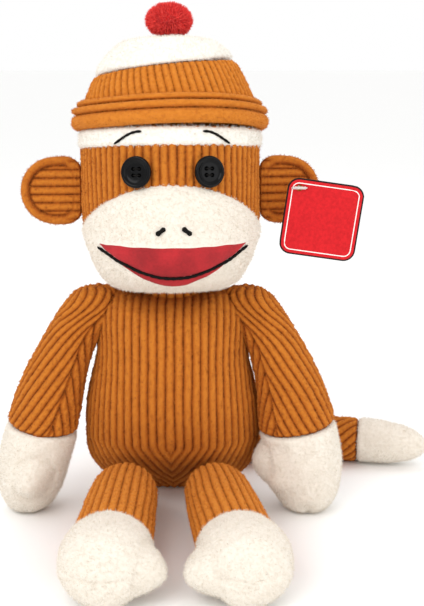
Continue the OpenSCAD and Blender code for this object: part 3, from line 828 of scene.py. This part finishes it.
def button(name):
    """A four-hole button with a raised round rim, sewn on with two stitches."""
    low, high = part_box(f"eye_button_{name}")
    middle_point = (low + high) / 2
    bearing = math.asin((middle_point - HEAD_AXIS).dot(SIDE_LINE) / (48 * MM))
    axis = facing(bearing)
    centre = middle_point - axis * 1.4 * MM
    right = EAR_LINE.cross(axis).normalized()
    radius = (high.z - low.z) / 2 - 0.15 * MM
    turns = np.linspace(0, 2 * math.pi, 24, endpoint=False)
    flat = np.array([[(r * math.cos(t), r * math.sin(t), h) for t in turns] for r, h in BUTTON_SECTION])
    flat = refine(refine(flat, 2, 1, True), 3, 0, False)
    x, y, h = flat[..., 0] * radius, flat[..., 1] * radius, flat[..., 2] * MM
    for across in (-HOLE_AT, HOLE_AT):
        for up in (-HOLE_AT, HOLE_AT):
            hole = np.exp(-(np.hypot(x - across, y - up) / (0.85 * MM)) ** 6)
            h = np.where(h > 1.5 * MM, h - 1.3 * MM * hole, h)
    grid = np.array(centre) + x[..., None] * np.array(right) + y[..., None] * np.array(EAR_LINE)
    grid = grid + h[..., None] * np.array(axis)
    piece = skin(f"button_{name}", grid, BUTTON, caps=False)
    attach(piece, "head")
    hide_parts(f"eye_button_{name}")
    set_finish(piece, "black_button")
    for index, up in enumerate((-HOLE_AT, HOLE_AT)):
        path = [tuple(centre + right * HOLE_AT * k + EAR_LINE * up + axis * lift * MM)
                for k, lift in ((-1.1, 0.9), (-0.9, 2.2), (0, 2.45), (0.9, 2.2), (1.1, 0.9))]
        stitch = sweep(f"button_stitch_{name}_{index}", path, 0.4 * MM, THREAD, sides=8, twist=0.15)
        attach(stitch, "head")
        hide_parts(f"eye_thread_{name}")
        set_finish(stitch, "black_thread")


# ---------------------------------------------------------------- hat
HAT_TREE = tree_of("hat_band", "hat_crown")
BRIM_UP = 38.9 * MM          # heights above the middle of the ears: the brim's middle,
BAND_LOW = 46 * MM           # the band's lower edge inside the brim,
CROWN_TOP = 78.2 * MM        # and the top of the crown
# The rolled brim, three ridges one over another: distance from the head's axis and height, in mm.
BRIM_SECTION = [
    (43.5, -4.5), (45.5, -6.8), (48.8, -7.2), (51.4, -5.8), (52.3, -3.2), (51.8, -1.0), (50.2, 0.0),
    (48.0, 0.5), (50.6, 1.1), (51.6, 2.6), (50.8, 4.0), (48.6, 4.4), (46.6, 4.7), (48.6, 5.4), (48.8, 6.8),
    (46.8, 8.0), (44.2, 8.2), (42.4, 6.5), (42.6, 0)]


def hat_seam(a):
    """The seam between band and crown, higher at the monkey's left."""
    return (64.0 + 4.0 * math.sin(a)) * MM


def hat_grid(low, high, rows, steps):
    """Points round the hat between two heights that may change with the angle."""
    angles = np.linspace(0, 2 * math.pi, 32, endpoint=False)
    grid = [[tuple(reach(HAT_TREE, on_axis(low(a) + (high(a) - low(a)) * s), facing(a))) for a in angles]
            for s in rows]
    return refine(refine(np.array(grid), steps[0], 1, True), steps[1], 0, False)


def hat():
    """Knit band below a plush crown, and a cuff rolled up from three ridges."""
    grid = hat_grid(lambda a: BAND_LOW, hat_seam, np.linspace(0, 1, 8), (4, 3))
    place, half = girth(grid, 0)
    turn = place / half * math.pi
    # The ribs lean, more on the right-hand side of the hat than on the left.
    lean = 0.22 - 0.16 * np.sin(turn)
    place = place * (half[0] / half) + lean * (head_height(grid) - BAND_LOW)
    grid, rib = knit(grid, place, FACE_PITCH * 0.95, dip(to_last_row(grid), SEAM_WIDTH), 3)
    band = skin("hat_band_cover", grid, BAND_RUST, rib)
    rows = np.sin(np.linspace(0, math.pi / 2, 14))
    grid = hat_grid(hat_seam, lambda a: CROWN_TOP, rows, (3, 2))
    out = outward(grid, normals(grid))
    roll = np.clip(length_along(grid) / (4 * MM), 0, 1)
    lift = -1.2 * MM + 2.2 * MM * np.sqrt(1 - (1 - roll) ** 2) + 0.5 * MM * lumps(grid, 9 * MM, 4)
    crown = skin("hat_crown_cover", grid + out * lift[..., None], WHITE)
    profile = refine(np.array(BRIM_SECTION + BRIM_SECTION[:1]), 3, 0, False)
    turns = np.linspace(0, 2 * math.pi, 320, endpoint=False)
    sag = 0.8 * MM * np.array([math.sin(2 * t + 0.6) for t in turns])
    ring = np.array([tuple(facing(t)) for t in turns])
    centre = np.array(on_axis(BRIM_UP))
    grid = centre + profile[:, :1, None] * MM * ring[None] * (1, 0.985, 1)
    grid = grid + (profile[:, 1:, None] * MM + sag[None, :, None]) * np.array(EAR_LINE)
    nap = lumps(grid, NAP_LUMP, 6)
    spread_out = grid - centre
    spread_out /= np.linalg.norm(spread_out, axis=2, keepdims=True)
    grid = grid + spread_out * (0.3 * MM * nap + 0.5 * MM * lumps(grid, 14 * MM, 7))[..., None]
    grid[-1] = grid[0]
    across, up = profile[:, 0], profile[:, 1]
    # Painted shade: the colour darkens in the two folds between the brim's ridges, and varies with the nap.
    fold = dip(np.hypot(across - 48.0, up - 0.5), 1.6) + dip(np.hypot(across - 46.6, up - 4.7), 1.6)
    shade = np.clip(0.8 + 0.3 * nap - 0.8 * fold[:, None], 0, 1)
    brim = skin("hat_brim_cover", grid, BAND_RUST, shade, caps=False)
    for piece, nodes, name in ((band, ["hat_band"], "rust_knit"),
                               (crown, ["hat_crown", "hat_stuffing"], "cream_plush"),
                               (brim, ["hat_brim"], "rust_knit")):
        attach(piece, "head")
        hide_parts(*nodes)
        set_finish(piece, name)
    return band, crown, brim


def pompom():
    """A red yarn pompom: cut yarn ends standing out all round."""
    low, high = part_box("pompom")
    centre = (low + high) / 2
    ball = bmesh.new()
    bmesh.ops.create_icosphere(ball, subdivisions=4, radius=1)
    for vert in ball.verts:
        way = vert.co.copy()
        swell = 1 + 0.06 * noise.noise(way * 3)
        vert.co = Vector((way.x * 10.6, way.y * 10.6, way.z * 7.4)) * MM * swell + centre
    core = show("pompom_core", ball, YARN[2])
    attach(core, "pompom")
    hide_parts("pompom")
    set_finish(core, "red_yarn")
    ends = pile("pompom_yarn", core, 5200, 2.6 * MM, 1.15 * MM, YARN, 11, jitter=0.28)
    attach(ends, "pompom")
    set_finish(ends, "red_yarn")
    tie = sweep("pompom_tie_yarn", [tuple(on_axis(h * MM)) for h in (77.5, 79, 80.5)], 1.6 * MM, YARN[2])
    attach(tie, "head")
    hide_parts("pompom_tie")
    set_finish(tie, "red_yarn")


# ---------------------------------------------------------------- ears
EAR_RADIUS = 17.6 * MM
EAR_OUT = 7.4 * MM           # from the fold line to the middle of the ear
# From the middle of the front over the roll to the middle of the back: share of the radius, height in mm.
EAR_SECTION = [
    (0, 1.6), (0.25, 1.6), (0.5, 1.7), (0.68, 2.2), (0.8, 3.5), (0.9, 4.2), (0.97, 3.2), (1.0, 1.2),
    (1.0, -1.3), (0.96, -3.3), (0.85, -4.4), (0.6, -4.8), (0.3, -5.0), (0, -5.0)]


def ear_reach(turn):
    """Outline of the ear: round on the outside, square to the head on the inside."""
    across, up = math.cos(turn), abs(math.sin(turn))
    if across >= 0:
        return EAR_RADIUS
    flat = [14.5 * MM / max(-across, 1e-6), 17.9 * MM / max(up, 1e-6), EAR_RADIUS * 1.12]
    return min(flat)


def ear(side, name):
    """Two knit pieces sewn round the edge and rolled, with level ribs inside the roll."""
    fold = Vector(JOINTS[f"ear_{name}_fold"]["pos_m"])
    out = SIDE_LINE * side
    centre = np.array(fold + out * EAR_OUT)
    turns = np.linspace(0, 2 * math.pi, 32, endpoint=False)
    flat = np.array([[(r * ear_reach(t) * math.cos(t), r * ear_reach(t) * math.sin(t), h * MM, r)
                      for t in turns] for r, h in EAR_SECTION])
    flat = refine(refine(flat, 3, 1, True), 3, 0, False)
    x, up, deep, share = (flat[..., k] for k in range(4))
    # Beside the head the roll runs out and the ribs go straight in to the seam.
    rolled = smooth_step(x, -13 * MM, -5 * MM)
    deep = np.where((deep > 0) & (share < 0.93), deep * rolled + 2.6 * MM * (1 - rolled), deep)
    grid = centre + x[..., None] * np.array(out) + up[..., None] * np.array(EAR_LINE)
    grid = grid - deep[..., None] * np.array(BACK_LINE)
    inside = 1 - smooth_step(share, 0.68, 0.76)
    behind = deep < -2 * MM
    flat_part = np.where(behind, 0.0, 1 - inside) * rolled
    nap = lumps(grid, NAP_LUMP, 20 + side)
    rib = ribs(up, FACE_PITCH) * (1 - flat_part) + 0.8 * flat_part
    crease = dip((share - 0.73) * EAR_RADIUS, 0.9 * MM) * (deep > 0) * rolled
    # The crease also lowers the rib value, so the colour paints shade into the crease.
    rib = rib * (1 - 0.8 * crease)
    lift = (rib * (1 + 0.35 * nap) - 0.5) * RIB_HEIGHT * np.sign(deep + 1e-9) - 0.5 * MM * crease
    grid = grid - (lift * smooth_step(1 - share, 0.0, 0.06))[..., None] * np.array(BACK_LINE)
    piece = skin(f"ear_{name}_cover", grid, RUST, np.clip(rib + 0.2 * nap, 0, 1), caps=False)
    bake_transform(piece)
    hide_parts(f"ear_{name}_front", f"ear_{name}_back")
    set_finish(piece, "rust_knit")
    return piece, fold, out


# ---------------------------------------------------------------- arms and paws
def hanging(tree, centres, level, shares, out):
    """Points round a hanging limb; level gives the height from a share of the way down and an angle."""
    heights = [c.z for c in centres][::-1]
    xs, ys = [c.x for c in centres][::-1], [c.y for c in centres][::-1]
    grid = []
    for share in shares:
        row = []
        for a in np.linspace(0, 2 * math.pi, 32, endpoint=False):
            z = level(share, a)
            centre = Vector((np.interp(z, heights, xs), np.interp(z, heights, ys), z))
            row.append(tuple(reach(tree, centre, FRONT * math.cos(a) + out * math.sin(a))))
        grid.append(row)
    return np.array(grid)


def arm(side, name):
    """Outer and inner panel with ribs that meet in chevrons down the front seam, and a plush paw."""
    panels = [f"arm_{name}_outer", f"arm_{name}_inner"]
    palms = [f"paw_{name}_back", f"paw_{name}_palm"]
    tree = tree_of(*panels, *palms)
    low, high = box_of(*panels, *palms)
    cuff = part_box(panels[0])[0].z
    root = Vector(JOINTS[f"shoulder_{name}"]["pos_m"])
    out = LEFT * side
    centres, point = [], root.copy()
    for z in np.linspace(high.z - 1.2 * MM, low.z + 1.0 * MM, 24):
        point = middle(tree, Vector((point.x, point.y, z)), LEFT, FRONT)
        centres.append(point)
    top, bottom = high.z - 0.6 * MM, low.z + 0.5 * MM

    def seam(a):
        return cuff + 3.2 * MM * math.sin(a)

    grid = hanging(tree, centres, lambda s, a: top + (seam(a) - top) * s, spread(0, 1, 26), out)
    grid = refine(refine(grid, 3, 1, True), 3, 0, False)
    # The root reaches in to the torso, round about the shoulder's axis.
    near = np.exp(-((grid[..., 1] - root.y) ** 2 + (grid[..., 2] - root.z) ** 2) / (18 * MM) ** 2)
    inner = smooth_step(-side * (grid[..., 0] - root.x), -4 * MM, 4 * MM)
    grid[..., 0] -= side * 10 * MM * near * inner
    place, half = girth(grid, 0)
    down = length_along(grid).mean(1, keepdims=True)
    # The chevrons' line turns round the arm on its way down.
    turned = np.radians(np.linspace(-58, -34 if side > 0 else -14, len(grid)))[:, None]
    columns = grid.shape[1]
    index = (np.round(turned[:, 0] / (2 * math.pi) * columns).astype(int)) % columns
    shift = place[np.arange(len(grid)), index][:, None]
    shift = np.convolve(np.pad(shift[:, 0], 4, mode="edge"), np.ones(9) / 9, mode="valid")[:, None]
    across = (place - shift + half) % (2 * half) - half
    slant = np.where(across > 0, math.radians(20), math.radians(30))
    chevron = np.abs(across) * np.cos(slant) - down * np.sin(slant)
    seams = np.maximum(dip(across, 1.0 * MM) * 0.55, dip(np.abs(across) - half, SEAM_WIDTH))
    seams = np.maximum(seams, dip(to_last_row(grid), 1.2 * MM))
    grid, rib = knit(grid, chevron, RIB_PITCH, seams, 30 + side)
    sleeve = skin(f"arm_{name}_cover", grid, RUST, rib)
    shares = np.sin(np.linspace(0, math.pi / 2, 18))
    grid = hanging(tree, centres, lambda s, a: seam(a) + (bottom - seam(a)) * s, shares, out)
    grid = refine(refine(grid, 3, 1, True), 2, 0, False)
    way = outward(grid, normals(grid))
    roll = np.clip(length_along(grid) / (3.5 * MM), 0, 1)
    place, half = girth(grid, 0)
    seams = dip(np.abs(place) - half, SEAM_WIDTH) * MM
    lift = -1.0 * MM + 1.7 * MM * np.sqrt(1 - (1 - roll) ** 2) + 0.6 * MM * lumps(grid, 9 * MM, 40 + side)
    grid = grid + way * (lift - seams)[..., None]
    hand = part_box(palms[1])
    if side > 0:
        grid = thumb(grid, (hand[0].x + 2 * MM, centres[-8].y - 3 * MM, 28 * MM), -out, 4.5 * MM, 8.5 * MM)
    else:
        grid = thumb(grid, (centres[-8].x + 1 * MM, hand[0].y + 1 * MM, 23 * MM), FRONT, 4.0 * MM, 8.5 * MM)
    grid[..., 2] = np.maximum(grid[..., 2], GROUND)
    paw = skin(f"paw_{name}_cover", grid, CREAM)
    for piece in (sleeve, paw):
        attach(piece, f"arm_{name}")
    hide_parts(*panels, f"arm_{name}_stuffing")
    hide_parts(*palms)
    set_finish(sleeve, "rust_knit")
    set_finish(paw, "cream_plush")
    return sleeve, paw


def thumb(grid, centre, way, height, size):
    """A stuffed thumb pushed out of a paw or foot, with a fold where it leaves it."""
    away = np.linalg.norm(grid - np.array(centre), axis=2)
    push = height * np.exp(-(away / size) ** 2.6) - 1.3 * MM * dip(away - 1.45 * size, 0.3 * size)
    return grid + push[..., None] * np.array(way)


# ---------------------------------------------------------------- legs and feet
def leg(side, name):
    """A straight knit leg with a plush foot; its root is tucked in to the torso."""
    cover = f"leg_{name}_cover"
    feet = [f"foot_{name}_upper", f"foot_{name}_sole"]
    tree = tree_of(cover, *feet)
    hip = Vector(JOINTS[f"hip_{name}"]["pos_m"])
    axis = Vector(JOINTS[f"hip_{name}"]["axis"])
    along = UP.cross(axis)
    out = axis * -side

    def lengths(*nodes):
        return [(Vector(v.co) - hip).dot(along) for n in nodes for v in frame["nodes"][n].data.vertices]

    start, tip, cuff = min(lengths(cover, *feet)), max(lengths(cover, *feet)), max(lengths(cover))
    spans, mids, point = np.linspace(start + 1.5 * MM, tip - 0.6 * MM, 24), [], hip.copy()
    for t in spans:
        point = middle(tree, hip + along * t + UP * (point.z - hip.z), out, UP)
        mids.append(point.z)

    def rows(level, shares):
        """Points round the leg; level gives the distance from the hip."""
        made = []
        for s in shares:
            row = []
            for a in np.linspace(0, 2 * math.pi, 32, endpoint=False):
                t = level(s, a)
                centre = hip + along * t
                centre.z = np.interp(t, spans, mids)
                row.append(tuple(reach(tree, centre, UP * math.cos(a) + out * math.sin(a))))
            made.append(row)
        return refine(refine(np.array(made), 3, 1, True), 3, 0, False)

    def seam(a):
        return cuff + 1.5 * MM - 3.0 * MM * max(math.cos(a), 0)

    grid = rows(lambda s, a: start + 0.5 * MM + (seam(a) - start - 0.5 * MM) * s, np.linspace(0, 1, 16))
    place, half = girth(grid, 0)
    place = place * (half[-1] * 0.93 / half)
    seams = dip(to_last_row(grid), 1.2 * MM)
    grid, rib = knit(grid, place, FACE_PITCH, seams, 60 + side, height=1.1 * MM)
    grid[..., 2] = np.maximum(grid[..., 2], GROUND)
    trouser = skin(f"leg_{name}_knit", grid, PALE_RUST, rib)
    end = tip - 0.4 * MM
    grid = rows(lambda s, a: seam(a) + (end - seam(a)) * s, np.sin(np.linspace(0, math.pi / 2, 18)))
    way = outward(grid, normals(grid))
    roll = np.clip(length_along(grid) / (3.5 * MM), 0, 1)
    lift = -1.0 * MM + 1.8 * MM * np.sqrt(1 - (1 - roll) ** 2) + 0.6 * MM * lumps(grid, 10 * MM, 70 + side)
    grid = grid + way * lift[..., None]
    tip_of_thumb = hip + along * 89 * MM - out * 21.5 * MM
    tip_of_thumb.z = 15 * MM
    grid = thumb(grid, tip_of_thumb, -out + DOWN * 0.1, 3.2 * MM, 9.5 * MM)
    grid[..., 2] = np.maximum(grid[..., 2], GROUND)
    foot = skin(f"foot_{name}_plush", grid, CREAM)
    for piece in (trouser, foot):
        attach(piece, f"leg_{name}")
    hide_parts(cover, f"leg_{name}_stuffing")
    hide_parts(*feet)
    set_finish(trouser, "rust_knit")
    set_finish(foot, "cream_plush")
    return trouser, foot


# ---------------------------------------------------------------- tail
def tail():
    """The knit tail with its ribs wound round it, and a plush end."""
    tree = tree_of("tail_cover", "tail_tip")
    root = Vector(JOINTS["tail_swing"]["pos_m"])
    ahead = Vector((math.cos(math.radians(26)), math.sin(math.radians(26)), 0))
    step = 5 * MM
    line, point = [root.copy()], root.copy()
    last = box_of("tail_cover", "tail_tip")[1].x
    while point.x + step < last - 1.0 * MM:
        guess = point + ahead * step
        side = UP.cross(ahead)
        point = middle(tree, guess, side, UP)
        ahead = (point - line[-1]).normalized()
        line.append(point)
    line.append(line[-1] + ahead * (last - 0.6 * MM - line[-1].x) / max(ahead.x, 0.5))
    heads = [(line[min(i + 1, len(line) - 1)] - line[max(i - 1, 0)]).normalized() for i in range(len(line))]
    rings = [section(tree, c, UP.cross(h), UP, np.linspace(0, 2 * math.pi, 24, endpoint=False))
             for c, h in zip(line, heads)]
    body = np.array([[tuple(p) for p in ring] for ring in rings])
    # Two more rings carry the tail into the torso, where it is sewn in.
    first = body[0] - np.array(root)
    deeper = []
    for shift_x, shift_y, size in ((-9, -15, 0.72), (-6, -7, 0.85)):
        deeper.append(np.array(root) + first * size + np.array((shift_x, shift_y, 0)) * MM)
    body = np.concatenate([np.array(deeper), body], 0)
    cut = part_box("tail_tip")[0].x + 2.4 * MM
    split = next(i for i, c in enumerate(body.mean(1)) if c[0] > cut and i > 3)
    fine = refine(refine(body, 3, 1, True), 3, 0, False)
    at = split * 8
    knit_part, tip_part = fine[:at + 1], fine[at:]
    place, half = girth(knit_part, 0)
    down = length_along(knit_part).mean(1, keepdims=True)
    # A whole number of ribs, 14, goes round, so that the winding closes on itself.
    turn = place / half * math.pi
    wound = turn / (2 * math.pi) * 14 * FACE_PITCH + down * 0.62
    seams = dip(to_last_row(knit_part), 1.2 * MM)
    grid, rib = knit(knit_part, wound, FACE_PITCH, seams, 80)
    grid[..., 2] = np.maximum(grid[..., 2], GROUND)
    sleeve = skin("tail_knit", grid, RUST, rib)
    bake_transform(sleeve)
    way = outward(tip_part, normals(tip_part))
    roll = np.clip(length_along(tip_part) / (3 * MM), 0, 1)
    lift = -1.0 * MM + 1.6 * MM * np.sqrt(1 - (1 - roll) ** 2) + 0.4 * MM * lumps(tip_part, 8 * MM, 81)
    grid = tip_part + way * lift[..., None]
    grid[..., 2] = np.maximum(grid[..., 2], GROUND)
    end = skin("tail_plush", grid, CREAM)
    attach(end, "tail")
    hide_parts("tail_cover", "tail_stuffing")
    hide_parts("tail_tip")
    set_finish(sleeve, "rust_knit")
    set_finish(end, "cream_plush")
    return sleeve, end, root


# ---------------------------------------------------------------- swing tag
TAG_SIZE = 40.0 * MM
TAG_TILT = math.radians(-8)
TAG_CORNER = 6.0 * MM
TAG_HOLE = 1.8 * MM
TAG_THICK = 1.0 * MM
HOLE_IN = (6.0 * MM, 5.0 * MM)      # of the hole, in from the left and down from the top


def card_reach(turn, inset):
    """From the hole to the edge of the rounded card, with the edge moved in."""
    low_x, high_x = -HOLE_IN[0] + inset, TAG_SIZE - HOLE_IN[0] - inset
    low_y, high_y = -TAG_SIZE + HOLE_IN[1] + inset, HOLE_IN[1] - inset
    corner = max(TAG_CORNER - inset, 0.5 * MM)
    c, s = math.cos(turn), math.sin(turn)
    r = min(high_x / c if c > 1e-6 else 9, low_x / c if c < -1e-6 else 9,
            high_y / s if s > 1e-6 else 9, low_y / s if s < -1e-6 else 9)
    mid_x = high_x - corner if c > 0 else low_x + corner
    mid_y = high_y - corner if s > 0 else low_y + corner
    x, y = r * c, r * s
    past_x = x > mid_x if c > 0 else x < mid_x
    past_y = y > mid_y if s > 0 else y < mid_y
    if past_x and past_y:
        b = c * mid_x + s * mid_y
        r = b + math.sqrt(max(b * b - (mid_x ** 2 + mid_y ** 2 - corner ** 2), 0))
    return r


def card(name, rows, material):
    """A flat ring about the hole: rows of (inset from the edge or None for the hole, depth)."""
    hole = Vector(JOINTS["tag_swing"]["pos_m"])
    turns = np.linspace(0, 2 * math.pi, 240, endpoint=False)
    grid = []
    for inset, depth in rows + rows[:1]:
        row = []
        for t in turns:
            r = TAG_HOLE if inset is None else card_reach(t, inset)
            turned = t + TAG_TILT
            row.append((hole.x + r * math.cos(turned), hole.y - depth, hole.z + r * math.sin(turned)))
        grid.append(row)
    piece = skin(name, np.array(grid), material, caps=False)
    piece.data.shade_flat()
    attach(piece, "tag")
    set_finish(piece, "red_card")
    return piece


def tag():
    """A plain folded swing tag on a nylon fastener; nothing is printed but a border."""
    t = TAG_THICK
    sink, stand, line = 0.1 * MM, 0.06 * MM, 0.1 * MM       # ink layers: into the card, over it, the border's
    core = card("tag_core", [(None, 0.0), (0.15 * MM, 0.0), (0.0, 0.15 * MM), (0.0, t - 0.15 * MM),
                             (0.15 * MM, t), (None, t)], CARD_EDGE)
    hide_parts("tag_card")
    margin, outer, inner = 0.8 * MM, 2.3 * MM, 2.8 * MM
    for name, low, high in (("tag_face", t - sink, t + stand), ("tag_back", -stand, sink)):
        card(name, [(None, low), (margin, low), (margin, high), (None, high)], CARD)
    card("tag_border", [(inner, t), (outer, t), (outer, t + line), (inner, t + line)], CARD_LINE)
    low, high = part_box("tag_fastener")
    y, z = low.y + 0.8 * MM, (low.z + high.z) / 2
    x = (low.x + high.x) / 2
    bar = sweep("fastener_bar", [(low.x + 0.3 * MM, y, z), (x, y, z), (high.x - 0.3 * MM, y, z)],
                0.75 * MM, NYLON)
    pin = sweep("fastener_pin", [(x, y, z), (x + 0.2 * MM, y + 4 * MM, z), (x, high.y, z)], 0.5 * MM, NYLON)
    for piece in (bar, pin):
        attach(piece, "ear_left")
        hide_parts("tag_fastener")
        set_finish(piece, "nylon_fastener")


# ---------------------------------------------------------------- building it
def furred(source, body, seed, shades=CREAM_PILE, density=1.7, length=1.35 * MM, width=0.3 * MM,
           lean=(0, 0, -0.25), keep=None):
    """Stands pile on a piece, so many fibres to the square millimetre; keep marks where it may stand."""
    area = sum(face.area for face in source.data.polygons) * (0.5 if keep else 1.0)
    count = int(area * 1e6 * density * (1.0))
    hair = pile(f"{source.name}_pile", source, count, length, width, shades, seed, lean=lean, keep=keep)
    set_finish(hair, source.get("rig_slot", "rust_knit"))
    if body:
        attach(hair, body)
    return hair


def fuzz(source, body, seed, shades=RUST_PILE):
    """The raised nap of the brushed knit."""
    return furred(source, body, seed, shades, density=0.65, length=1.15 * MM, width=0.38 * MM,
                  lean=(0, 0, -0.1))


def off_mouth(centre, normal):
    """Marks the outer side of the muzzle, clear of the mouth."""
    from_axis = centre - np.array(HEAD_AXIS)
    up = from_axis @ np.array(EAR_LINE)
    turn = np.arctan2(from_axis @ np.array(SIDE_LINE), -from_axis @ np.array(BACK_LINE))
    rise = (np.sin(turn) / math.sin(MOUTH_HALF)) ** 2
    low, high = (-46.6 + 20.6 * rise) * MM, (-27.2 + 2.6 * rise) * MM
    lips = (np.abs(turn) < MOUTH_HALF) & (up > low) & (up < high)
    return on_face(centre, normal) & ~lips


def on_face(centre, normal):
    """Marks the outer side of a patch of the head."""
    return ((centre - np.array(HEAD_AXIS)) * normal).sum(1) > 0


def build():
    """The stage, then every piece with its pile; the order fixes nothing but which piece is made first."""
    studio()
    fuzz(torso(), "torso", 21)
    neck()
    fuzz(head_cover(), "head", 22)
    band, crown, brim = hat()
    fuzz(band, "head", 23, PALE_PILE)
    fuzz(brim, "head", 24, PALE_PILE)
    muzzle_piece, forehead_piece = muzzle(), forehead()
    mouth()
    stitching()
    pompom()
    furred(muzzle_piece, "head", 1, keep=off_mouth)
    furred(forehead_piece, "head", 2, WHITE_PILE, keep=on_face, length=1.5 * MM)
    furred(crown, "head", 3, WHITE_PILE, length=1.7 * MM)
    for side, name in ((1, "left"), (-1, "right")):
        button(name)
        ear_piece, fold, out = ear(side, name)
        nap = fuzz(ear_piece, None, 26 + side)
        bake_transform(nap)
        sleeve, paw = arm(side, name)
        fuzz(sleeve, f"arm_{name}", 28 + side)
        furred(paw, f"arm_{name}", 4 + side)
        trouser, foot = leg(side, name)
        fuzz(trouser, f"leg_{name}", 31 + side, PALE_PILE)
        furred(foot, f"leg_{name}", 8 + side)
    sleeve, end, root = tail()
    nap = fuzz(sleeve, None, 34)
    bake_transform(nap)
    furred(end, "tail", 12)
    tag()


build()
